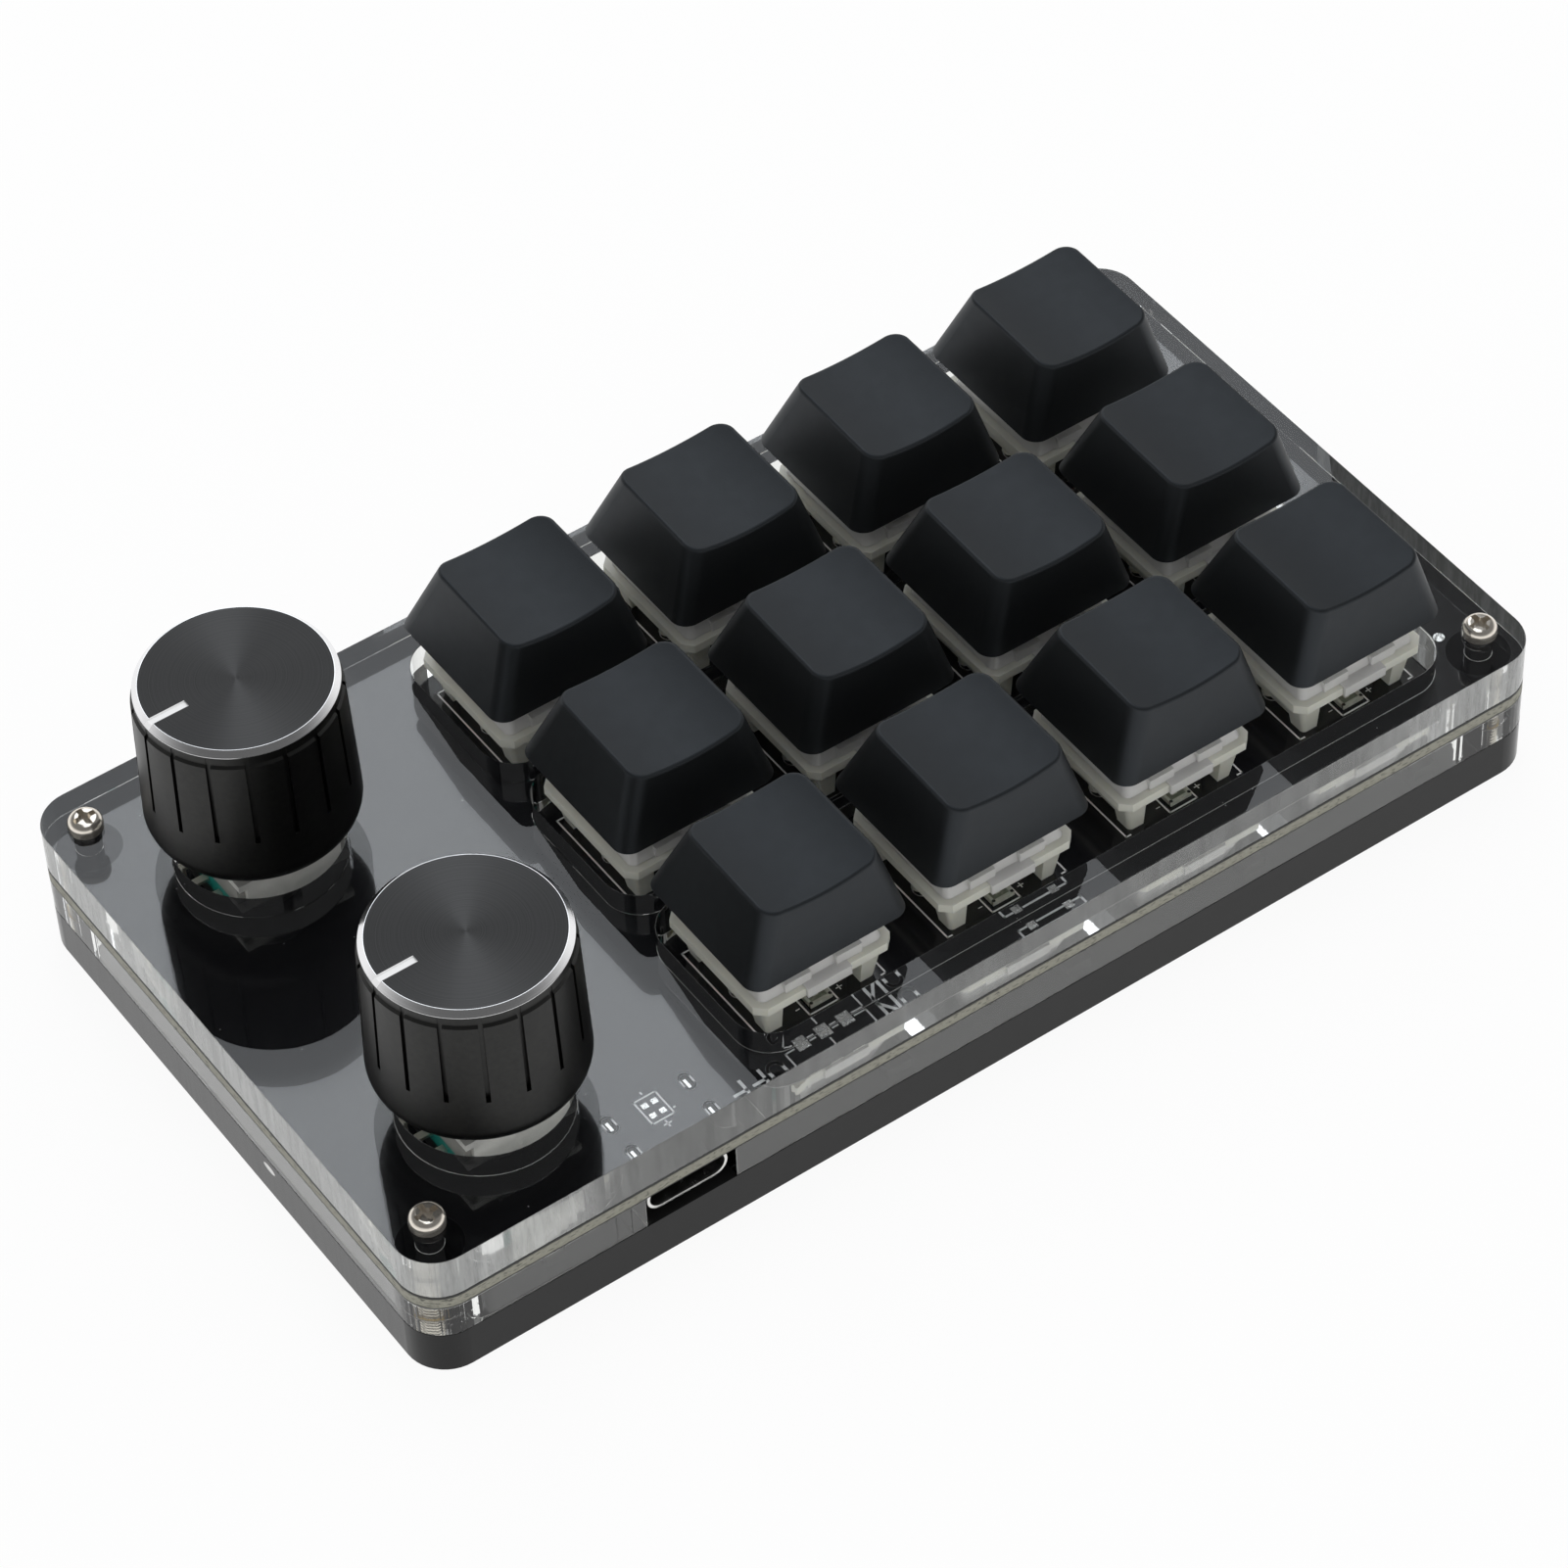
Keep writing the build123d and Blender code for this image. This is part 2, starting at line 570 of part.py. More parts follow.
def spring():
    """Coil spring between the housing floor and the roof of the stem's pocket."""
    z0 = BOARD_TOP + FLOOR_THICKNESS + SPRING_WIRE_RADIUS + SPRING_SEAT_GAP
    z1 = BOARD_TOP + STEM_UNDERSIDE + SPRING_POCKET_DEPTH - SPRING_WIRE_RADIUS - SPRING_SEAT_GAP
    path = Pos(0, 0, z0) * Helix(SPRING_PITCH, z1 - z0, SPRING_COIL_RADIUS)
    section = (path ^ 0) * Circle(SPRING_WIRE_RADIUS)
    return sweep(section, path=path, is_frenet=True)


def keycap():
    """Sculpted cap: tapered skirt, dished top leaning back, hollow inside, post with a cross socket."""
    z0 = BOARD_TOP + CAP_SKIRT_LIFT
    z1 = z0 + CAP_HEIGHT
    cap = taper((CAP_SKIRT_SIZE, CAP_SKIRT_SIZE), (CAP_TOP_LENGTH, CAP_TOP_WIDTH), z0, z1,
                CAP_SKIRT_CORNER, CAP_TOP_CORNER, CAP_TOP_SHIFT)
    half = CAP_TOP_LENGTH / 2
    dish_radius = (half ** 2 + CAP_DISH_DEPTH ** 2) / (2 * CAP_DISH_DEPTH)
    lean = degrees(atan2(CAP_BACK_DROP, CAP_TOP_WIDTH))
    dish_z = z1 - CAP_BACK_DROP / 2 - CAP_DISH_DEPTH + dish_radius
    dish = Pos(0, CAP_TOP_SHIFT, dish_z) * Rot(X=90 - lean) * Cylinder(dish_radius, 2 * CAP_SKIRT_SIZE)
    cap -= dish
    cap = fillet(top_rim(cap), CAP_RIM_RADIUS)
    ceiling = z1 - CAP_BACK_DROP / 2 - CAP_DISH_DEPTH - CAP_CEILING_THICKNESS
    cap -= cap_hollow(z0, z1, ceiling)
    cap += rod(CAP_POST_RADIUS, BOARD_TOP + UPPER_TOP + CAP_POST_GAP, ceiling)
    cap -= cross(CROSS_SPAN, CROSS_THICKNESS, BOARD_TOP + UPPER_TOP, BOARD_TOP + CROSS_TOP)
    return cap


def top_rim(cap):
    """Edges round the dished top."""
    dish_face = [face for face in cap.faces() if face.geom_type == GeomType.CYLINDER]
    widest = max(dish_face, key=lambda face: face.area)
    return widest.edges()


def cap_hollow(z0, z1, ceiling):
    """Space inside the cap, a wall's width inside its outer taper."""
    share = (ceiling - z0) / (z1 - z0)
    shrink = 2 * CAP_WALL
    top_length = CAP_SKIRT_SIZE + share * (CAP_TOP_LENGTH - CAP_SKIRT_SIZE) - shrink
    top_width = CAP_SKIRT_SIZE + share * (CAP_TOP_WIDTH - CAP_SKIRT_SIZE) - shrink
    bottom = (CAP_SKIRT_SIZE - shrink, CAP_SKIRT_SIZE - shrink)
    return taper(bottom, (top_length, top_width), z0, ceiling, CAP_SKIRT_CORNER / 2,
                 CAP_SKIRT_CORNER / 2, share * CAP_TOP_SHIFT)


# ---------------------------------------------------------------- encoders and knobs

def encoder_base():
    """Plastic encoder body with the cavity for the rotor and a pit for the shaft's end."""
    z = BOARD_TOP
    base = centred_block(ENCODER_SIZE, ENCODER_SIZE, z, z + ENCODER_BASE_HEIGHT)
    base -= rod(ENCODER_CAVITY_RADIUS, z + ENCODER_LEDGE, z + ENCODER_BASE_HEIGHT)
    base -= rod(ENCODER_PIT_RADIUS, z + ENCODER_PIT_FLOOR, z + ENCODER_LEDGE)
    return base


def encoder_bracket():
    """Steel bracket over the encoder: top plate, two legs with tabs, and the bushing."""
    size = ENCODER_SIZE
    leg_y = size / 2 + BRACKET_LEG_THICKNESS / 2
    bracket = centred_block(size, size + 2 * BRACKET_LEG_THICKNESS, BRACKET_UNDERSIDE, BUSHING_Z)
    for side in (-1, 1):
        bracket += centred_block(BRACKET_LEG_WIDTH, BRACKET_LEG_THICKNESS, BOARD_TOP, BRACKET_UNDERSIDE,
                                 0, side * leg_y)
        bracket += centred_block(BRACKET_TAB_WIDTH, BRACKET_LEG_THICKNESS, BOARD_TOP - BRACKET_TAB_REACH,
                                 BOARD_TOP, 0, side * leg_y)
    bracket += rod(BUSHING_RADIUS, BUSHING_Z, BUSHING_Z + BUSHING_HEIGHT)
    groove_count = int(BUSHING_HEIGHT / BUSHING_GROOVE_PITCH)
    for k in range(1, groove_count):
        z = BUSHING_Z + k * BUSHING_GROOVE_PITCH
        ring = rod(BUSHING_RADIUS + CUT_OVERSHOOT, z, z + BUSHING_GROOVE_DEPTH)
        bracket -= ring - rod(BUSHING_RADIUS - BUSHING_GROOVE_DEPTH, z, z + BUSHING_GROOVE_DEPTH)
    return bracket - rod(SHAFT_RADIUS + RUNNING_CLEARANCE, BRACKET_UNDERSIDE, BUSHING_Z + BUSHING_HEIGHT)


def encoder_terminal(x, y):
    """Terminal out of the encoder's side and down through the board."""
    side = 1 if x > 0 else -1
    y0, y1 = y - TERMINAL_WIDTH / 2, y + TERMINAL_WIDTH / 2
    outer = side * (ENCODER_SIZE / 2 + TERMINAL_STANDOFF)
    x0, x1 = sorted((side * ENCODER_SIZE / 2, outer))
    arm = block(x0, x1, y0, y1, BOARD_TOP + TERMINAL_LIFT, BOARD_TOP + TERMINAL_LIFT + TERMINAL_THICKNESS)
    x0, x1 = sorted((outer - side * TERMINAL_THICKNESS, outer))
    return arm + block(x0, x1, y0, y1, BOARD_TOP - TERMINAL_REACH, BOARD_TOP + TERMINAL_LIFT)


def encoder_rotor():
    """Detent rotor with the square hole that turns with the shaft."""
    z0 = BOARD_TOP + ENCODER_LEDGE
    z1 = BOARD_TOP + ROTOR_TOP
    hole = SQUARE_SIZE + 2 * SQUARE_CLEARANCE
    return rod(ROTOR_RADIUS, z0, z1) - centred_block(hole, hole, z0, z1)


def shaft_flat(radius):
    """Half space beyond the flat of the shaft, for a shaft or a bore of this radius."""
    face_x = radius - SHAFT_FLAT_DEPTH
    return block(face_x, SHAFT_RADIUS * 2, -SHAFT_RADIUS * 2, SHAFT_RADIUS * 2,
                 SHAFT_TOP - SHAFT_FLAT_LENGTH, SHAFT_TOP)


def encoder_shaft():
    """Shaft with a flat at the top, a collar under the bracket and a square end in the rotor."""
    collar_z = BRACKET_UNDERSIDE - COLLAR_THICKNESS
    shaft = rod(SHAFT_RADIUS, BRACKET_UNDERSIDE, SHAFT_TOP) - shaft_flat(SHAFT_RADIUS)
    shaft += rod(COLLAR_RADIUS, collar_z, BRACKET_UNDERSIDE)
    shaft += centred_block(SQUARE_SIZE, SQUARE_SIZE, BOARD_TOP + SQUARE_END, collar_z)
    return shaft


def knob_outline():
    """Half section of the knob's outside."""
    foot = (KNOB_FOOT_RADIUS, KNOB_BOTTOM)
    belly = (KNOB_BELLY_RADIUS, KNOB_BOTTOM + KNOB_BELLY_HEIGHT)
    bulge_radius = KNOB_FOOT_RADIUS + (KNOB_BELLY_RADIUS - KNOB_FOOT_RADIUS) * sin(pi / 4)
    bulge = (bulge_radius, KNOB_BOTTOM + KNOB_BELLY_HEIGHT * (1 - cos(pi / 4)))
    neck_z = KNOB_SHOULDER_Z + (KNOB_SHOULDER_RADIUS - KNOB_NECK_RADIUS)
    points = [
        belly,
        (KNOB_SHOULDER_RADIUS, KNOB_SHOULDER_Z),
        (KNOB_NECK_RADIUS, neck_z),
        (KNOB_NECK_RADIUS, KNOB_TOP - KNOB_BEVEL),
        (KNOB_NECK_RADIUS - KNOB_BEVEL, KNOB_TOP),
        (0, KNOB_TOP),
        (0, KNOB_BOTTOM),
        foot,
    ]
    edges = Polyline(*points).edges() + ThreePointArc(foot, bulge, belly).edges()
    return make_face(edges)


def knob():
    """Fluted knob, bored for the shaft, hollow round the bushing, with a pointer groove on top."""
    body = revolve(Plane.XZ * knob_outline(), Axis.Z)
    for k in range(GROOVE_COUNT):
        inner = KNOB_SHOULDER_RADIUS - GROOVE_DEPTH
        groove = block(inner, KNOB_BELLY_RADIUS + CUT_OVERSHOOT, -GROOVE_WIDTH / 2, GROOVE_WIDTH / 2,
                       GROOVE_BOTTOM_Z, KNOB_SHOULDER_Z + CUT_OVERSHOOT)
        body -= Rot(Z=360 * k / GROOVE_COUNT) * groove
    hollow_top = BUSHING_Z + BUSHING_HEIGHT + KNOB_BUSHING_HEADROOM
    body -= rod(BUSHING_RADIUS + KNOB_BUSHING_CLEARANCE, KNOB_BOTTOM, hollow_top)
    bore_radius = SHAFT_RADIUS + FIT_CLEARANCE
    body -= rod(bore_radius, hollow_top, SHAFT_TOP) - shaft_flat(bore_radius)
    body -= block(POINTER_INNER_RADIUS, KNOB_BELLY_RADIUS, -POINTER_WIDTH / 2, POINTER_WIDTH / 2,
                  KNOB_TOP - POINTER_DEPTH, KNOB_TOP)
    return body


# ---------------------------------------------------------------- USB socket

def stadium(width, height, y0, y1, z_centre):
    """Bar along Y with fully rounded sides."""
    outline = Plane.XZ.offset(-y0) * Pos(USB_CENTRE_X, z_centre) * SlotOverall(width, height)
    return extrude(outline, -(y1 - y0))


def usb_shell():
    """Metal shell of the socket, hanging from the board, with four solder tabs."""
    mouth = usb_mouth_y()
    back = mouth - USB_LENGTH
    z = BOARD_Z - USB_HEIGHT / 2
    shell = stadium(USB_WIDTH, USB_HEIGHT, back, mouth, z)
    shell -= stadium(USB_WIDTH - 2 * USB_WALL, USB_HEIGHT - 2 * USB_WALL, back, mouth, z)
    for x, y in usb_tab_places():
        shell += centred_block(USB_WALL, USB_TAB_WIDTH, z, BOARD_Z + USB_TAB_RISE, x, y)
    return shell


def usb_tongue():
    """Contact tongue of the socket on its rear block."""
    mouth = usb_mouth_y()
    back = mouth - USB_LENGTH
    z = BOARD_Z - USB_HEIGHT / 2
    inner_half = USB_HEIGHT / 2 - USB_WALL
    block_width = USB_WIDTH - 2 * USB_WALL - 2 * TONGUE_BLOCK_SIDE_GAP
    tongue = centred_block(TONGUE_WIDTH, mouth - TONGUE_SETBACK - back, z - TONGUE_THICKNESS / 2,
                           z + TONGUE_THICKNESS / 2, USB_CENTRE_X, (back + mouth - TONGUE_SETBACK) / 2)
    return tongue + centred_block(block_width, TONGUE_BLOCK_LENGTH, z - inner_half, z + inner_half,
                                  USB_CENTRE_X, back + TONGUE_BLOCK_LENGTH / 2)


# ---------------------------------------------------------------- small parts under the board

def under_board(size, x, y):
    """Block-shaped part soldered to the underside of the board."""
    return centred_block(size[0], size[1], BOARD_Z - size[2], BOARD_Z, x, y)


def near_controller(size, offset):
    """Small part at an offset from the controller, which lies in line with the socket."""
    return under_board(size, USB_CENTRE_X + offset[0], CHIP_Y + offset[1])


def board_parts():
    """Crystal, regulator and capacitors round the controller."""
    parts = [near_controller(CRYSTAL_SIZE, CRYSTAL_OFFSET), near_controller(REGULATOR_SIZE, REGULATOR_OFFSET)]
    parts += [near_controller(CAPACITOR_SIZE, offset) for offset in CAPACITOR_OFFSETS]
    return parts


# ---------------------------------------------------------------- write the nodes

def main():
    """Build every node and write it."""
    os.makedirs("parts", exist_ok=True)

    save("bottom_plate", bottom_plate())
    save("clear_frame", clear_frame())
    save("circuit_board", circuit_board())
    save("top_plate", top_plate())
    save("plate_screws", [Pos(x, y, 0) * plate_screw() for x, y in SCREW_PLACES])
    save("screw_inserts", [Pos(x, y, 0) * screw_insert() for x, y in SCREW_PLACES])

    save("switch_lower_housings", at_keys(lower_housing()))
    save("switch_upper_housings", at_keys(upper_housing()))
    contacts = [contact(x, y) for x, y in CONTACT_PLACES]
    save("switch_contacts", [copy for piece in contacts for copy in at_keys(piece)])
    save("switch_leds", at_keys(switch_led()))
    cap, slider, coil = keycap(), stem(), spring()
    for name, (x, y) in KEY_PLACES.items():
        save(f"keycap_{name}", Pos(x, y, 0) * cap)
        save(f"stem_{name}", Pos(x, y, 0) * slider)
        save(f"spring_{name}", Pos(x, y, 0) * coil)

    save("encoder_bases", at_knobs(encoder_base()))
    save("encoder_brackets", at_knobs(encoder_bracket()))
    terminals = [encoder_terminal(x, y) for x, y in terminal_places()]
    save("encoder_terminals", [copy for piece in terminals for copy in at_knobs(piece)])
    rotor, shaft, handle = encoder_rotor(), encoder_shaft(), knob()
    for name, (x, y) in KNOB_PLACES.items():
        save(f"encoder_rotor_{name}", Pos(x, y, 0) * rotor)
        save(f"encoder_shaft_{name}", Pos(x, y, 0) * shaft)
        save(f"knob_{name}", Pos(x, y, 0) * handle)

    save("usb_shell", usb_shell())
    save("usb_tongue", usb_tongue())
    save("controller_chip", near_controller((CHIP_SIZE, CHIP_SIZE, CHIP_THICKNESS), (0, 0)))
    diode = under_board(DIODE_SIZE, DIODE_OFFSET[0], DIODE_OFFSET[1])
    save("switch_diodes", at_keys(diode))
    save("board_parts", board_parts())


main()
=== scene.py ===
"""Looks for the macro keypad: materials, print on the board, floor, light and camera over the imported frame.

Meshes are in metres, in the frame of the CAD model, and MM turns millimetres into metres. Places on the
board and sizes that feed material nodes are in millimetres.
"""
from math import cos, pi, sin

import bmesh
import bpy
from mathutils import Matrix, Vector


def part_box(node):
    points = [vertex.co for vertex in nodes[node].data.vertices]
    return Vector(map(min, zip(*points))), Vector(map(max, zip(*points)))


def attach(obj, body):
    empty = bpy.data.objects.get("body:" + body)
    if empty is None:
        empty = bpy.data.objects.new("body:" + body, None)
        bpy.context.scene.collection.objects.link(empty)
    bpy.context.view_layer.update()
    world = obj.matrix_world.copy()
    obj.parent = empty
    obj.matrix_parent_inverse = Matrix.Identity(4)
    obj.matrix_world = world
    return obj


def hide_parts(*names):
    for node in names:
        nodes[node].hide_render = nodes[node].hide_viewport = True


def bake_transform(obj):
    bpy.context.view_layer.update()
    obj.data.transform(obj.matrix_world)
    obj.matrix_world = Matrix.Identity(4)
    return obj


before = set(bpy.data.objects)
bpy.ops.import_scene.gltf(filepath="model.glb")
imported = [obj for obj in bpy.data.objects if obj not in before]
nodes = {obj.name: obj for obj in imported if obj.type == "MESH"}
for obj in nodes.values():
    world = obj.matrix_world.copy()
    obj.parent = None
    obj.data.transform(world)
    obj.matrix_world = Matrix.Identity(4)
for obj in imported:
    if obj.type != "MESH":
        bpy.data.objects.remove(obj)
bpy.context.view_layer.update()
MM = 0.001

# ---------------------------------------------------------------- sizes read from the frame

COVER_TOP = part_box("top_plate")[1][2]
BOARD_LOW, BOARD_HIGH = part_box("circuit_board")
KNOB_LOW, KNOB_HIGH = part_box("knob_back")
KNOB_CENTRE = Vector(((KNOB_LOW[0] + KNOB_HIGH[0]) / 2, (KNOB_LOW[1] + KNOB_HIGH[1]) / 2))
KNOB_TOP = KNOB_HIGH[2]
COLUMNS = (1, 2, 3, 4)
ROWS = (1, 2, 3)


def key_centre(column, row):
    """Centre of a key switch, read from its stem."""
    low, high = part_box(f"stem_c{column}r{row}")
    return Vector(((low[0] + high[0]) / 2, (low[1] + high[1]) / 2))


KEY_CENTRES = {(column, row): key_centre(column, row) for column in COLUMNS for row in ROWS}
KEY_PITCH = KEY_CENTRES[(2, 1)].x - KEY_CENTRES[(1, 1)].x
LOWER_LOW, LOWER_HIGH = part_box("switch_lower_housings")
FLANGE_TOP = LOWER_HIGH[2]
FLANGE_HALF = KEY_CENTRES[(1, 1)].x - LOWER_LOW[0]

# ---------------------------------------------------------------- looks, as named values

WHITE = (1.0, 1.0, 1.0)
NOISE_LOW, NOISE_HIGH = 0.3, 0.7
UPRIGHT = (1, 1, 0.05)
MARKS_SHADE = 0.15
SMOOTHER, ROUGHER = 0.8, 1.25

# clear pieces
AIR_GAP = 0.04 * MM
TOUCH = 0.01 * MM
SAME_POINT = 0.0005 * MM
FLAT_ANGLE = 0.01
SHEET_BEVEL = 0.12 * MM
OUTER_WALL_X = 62.5 * MM
OUTER_WALL_Y = 31.5 * MM

# acrylic
ACRYLIC_IOR = 1.49
CUT_COLOUR = (0.94, 0.95, 0.93)
DUST_CELLS_PER_MM = 0.32
DUST_CORE, DUST_RIM = 0.012, 0.03
DUST_ROUGHNESS = 0.5
HAZE = 0.34
HAZE_MOST, HAZE_LEAST = HAZE * 1.2, HAZE * 0.8
CLEAR_SHARE = 0.45
STREAKS_START_X, STREAKS_FULL_X = 38.0, 56.0
KNOB_END_START_X, KNOB_END_FULL_X = 63.0, 64.5

# painted highlight on the slab's knob-end wall: a pale oval in the colour that stands in for a reflection
PAINTED_GLINT_Y, PAINTED_GLINT_Z = 7.4, 3.8
PAINTED_GLINT_FLATNESS = 2.4
PAINTED_GLINT_FULL, PAINTED_GLINT_END = 0.85, 1.1
PAINTED_GLINT_WALL_X = 64.9

# circuit board
BORDER_BELOW, BORDER_ABOVE, BORDER_SOFT = 0.14, 0.3, 0.06
SPECKS_START, SPECKS_FULL, SPECKS_SHARE = 0.55, 0.62, 0.75
SCREW_X, SCREW_Y = 61.0, 30.0
CONTACT_DISC_RADIUS, CONTACT_DISC_SOFT = 3.2, 0.05
MASK_ROUGHNESS, LAMINATE_ROUGHNESS, CONTACT_ROUGHNESS = 0.12, 0.6, 0.7

# screws
HEAD_ROUGHNESS, THREAD_ROUGHNESS = 0.15, 0.3
THREAD_PITCH, THREAD_DEPTH, THREAD_START = 0.4, 0.05, 0.05

# knobs
DISC_RADIUS, BEVEL_RADIUS, RIM_SOFT = 9.15, 10.0, 0.02
DISC_DEPTH, BEVEL_DEPTH = 0.2, 0.6
POINTER_START, POINTER_END, POINTER_HALF = 5.35, 9.85, 0.42
BODY_ROUGHNESS, DISC_ROUGHNESS, POINTER_ROUGHNESS = 0.38, 0.39, 0.3
BEVEL_FACTOR = 0.38
DISC_ANISOTROPY = 0.98
RINGS_PER_MM, TURNING_PER_MM, TURNING_SHARE = 9.0, 5.0, 0.5

# encoder layers, as heights over the board
FOOT_TO_MIDDLE = (1.55, 1.65)
MIDDLE_TO_UPPER = (3.55, 3.65)

# lights by the switches, window and corners as shares of the package
WINDOW_HALF_X, WINDOW_HALF_Y = 0.36, 0.32
CHIP_LEFT, CHIP_RIGHT, CHIP_LOW, CHIP_HIGH = -0.2, 0.35, -0.25, 0.2
CORNER_X, CORNER_Y = 0.43, 0.40
CORNER_FULL, CORNER_END = 0.16, 0.22

# print and pads
PRINT_LIFT = 0.012 * MM
PAD_LIFT = 0.02 * MM
OUTLINE_WIDTH = 0.18
BOLD_WIDTH = OUTLINE_WIDTH * 1.3
PEG_RING_WIDTH = OUTLINE_WIDTH * 0.7
SIGN_WIDTH = 0.11
LETTER_LINE = 0.34
RING_STEPS = 32

# print of one switch, from its centre
SIDES = ((1, 6.9), (-1, 7.1))
SIDE_LOW, SIDE_HIGH = -6.45, 6.95
LOW_TICK, HIGH_TICK = 0.9, 0.5
PEG_X, PEG_Y, PEG_RING = 5.1, 0.5, 2.0
LIGHT_LEFT, LIGHT_RIGHT, LIGHT_LOW, LIGHT_HIGH = -1.66, 1.62, 4.5, 6.95
SIGN_Y = 5.75
PLUS_X, PLUS_HALF = -2.55, 0.3
MINUS_LEFT, MINUS_RIGHT = 2.0, 2.35

# place of a slide switch
WORDS = (("ON", 8.62), ("OFF", 23.65))
WORD_Y = 31.32
LETTER_STEP, LETTER_WIDTH, LETTER_HEIGHT = 2.15, 1.5, 2.3
F_BAR_HEIGHT, F_BAR_LENGTH = 0.52, 0.85
SLIDE_LEFT, SLIDE_RIGHT, SLIDE_LOW, SLIDE_HIGH = 13.56, 22.7, 31.2, 33.8
SLIDE_LEFT_FOOT, SLIDE_RIGHT_FOOT = 14.8, 21.7
SLIDE_DASHES, SLIDE_DASH_LENGTH = (16.75, 19.3), 0.55
SLIDE_MIDDLE_X, SLIDE_MIDDLE_LOW = 18.2, 32.1
SLIDE_PADS_X, SLIDE_PADS_Y, SLIDE_PAD_SIZE = (15.75, 18.25, 20.75), 31.3, (1.35, 0.9)

# place of a resistor
RESISTOR_DASHES = ((-10.8, -9.9), (-8.7, -5.7), (-4.4, -3.5))
RESISTOR_LOW, RESISTOR_HIGH = 32.05, 33.4
RESISTOR_PADS_X, RESISTOR_PADS_Y, RESISTOR_PAD_SIZE = (-9.3, -5.0), 32.2, (0.92, 0.9)

# place of a colour light
COLOUR_LEFT, COLOUR_RIGHT, COLOUR_LOW, COLOUR_HIGH = 34.8, 37.2, 27.6, 30.75
COLOUR_X, COLOUR_PLUS_Y, COLOUR_PLUS_HALF = 36.0, 31.45, 0.35
COLOUR_TICK_LOW, COLOUR_TICK_HIGH = 26.95, 27.15
COLOUR_DOT_LEFT, COLOUR_DOT_RIGHT, COLOUR_DOT_Y, COLOUR_DOT_WIDTH = 34.38, 34.45, 30.2, 0.2
COLOUR_PADS_X, COLOUR_PADS_Y, COLOUR_PAD_SIZE = (35.5, 36.55), (28.5, 29.9), (0.64, 0.62)

# solder tabs of the socket, and the sight dot
TABS_X, TABS_Y, TAB_SIZE = (31.78, 40.42), (28.4, 32.5), (1.1, 2.0)
SIGHT_DOT, SIGHT_DOT_SIZE = (-59.2, 26.2), (1.15, 1.15)

# floor, light and surroundings
FLOOR_REACH = 3.0
FLOOR_DROP = 0.05 * MM
FLOOR_COLOUR = (0.97, 0.97, 0.97)
FLOOR_WHITE_SHARE = 0.92
SOFTBOX_DIRECTION = Vector((-0.235, -0.405, 0.883))
SOFTBOX_TARGET = Vector((0, 0, 0.01))
SOFTBOX_DISTANCE = 0.9
SOFTBOX_SIZE = (0.36, 1.3)
SOFTBOX_POWER = 2.45
SOFTBOX_COLOUR = (0.96, 1.0, 1.05)
DIFFUSE_WORLD = 0.69
CEILING_LEVEL = 0.12
CEILING_START, CEILING_FULL = 0.12, 0.62

# camera, solved from the photograph
CAMERA_PLACE = Vector((213.5, 325.51, 429.07)) * MM
CAMERA_RIGHT = Vector((-0.81613936, 0.57685325, -0.03401276))
CAMERA_DOWN = Vector((0.44301271, 0.58681636, -0.67778042))
CAMERA_AHEAD = Vector((-0.37102059, -0.56823136, -0.73447725))
CAMERA_LENS, CAMERA_SENSOR = 135.39, 36.0
CAMERA_NEAR, CAMERA_FAR = 0.05, 20.0


# ---------------------------------------------------------------- material helper

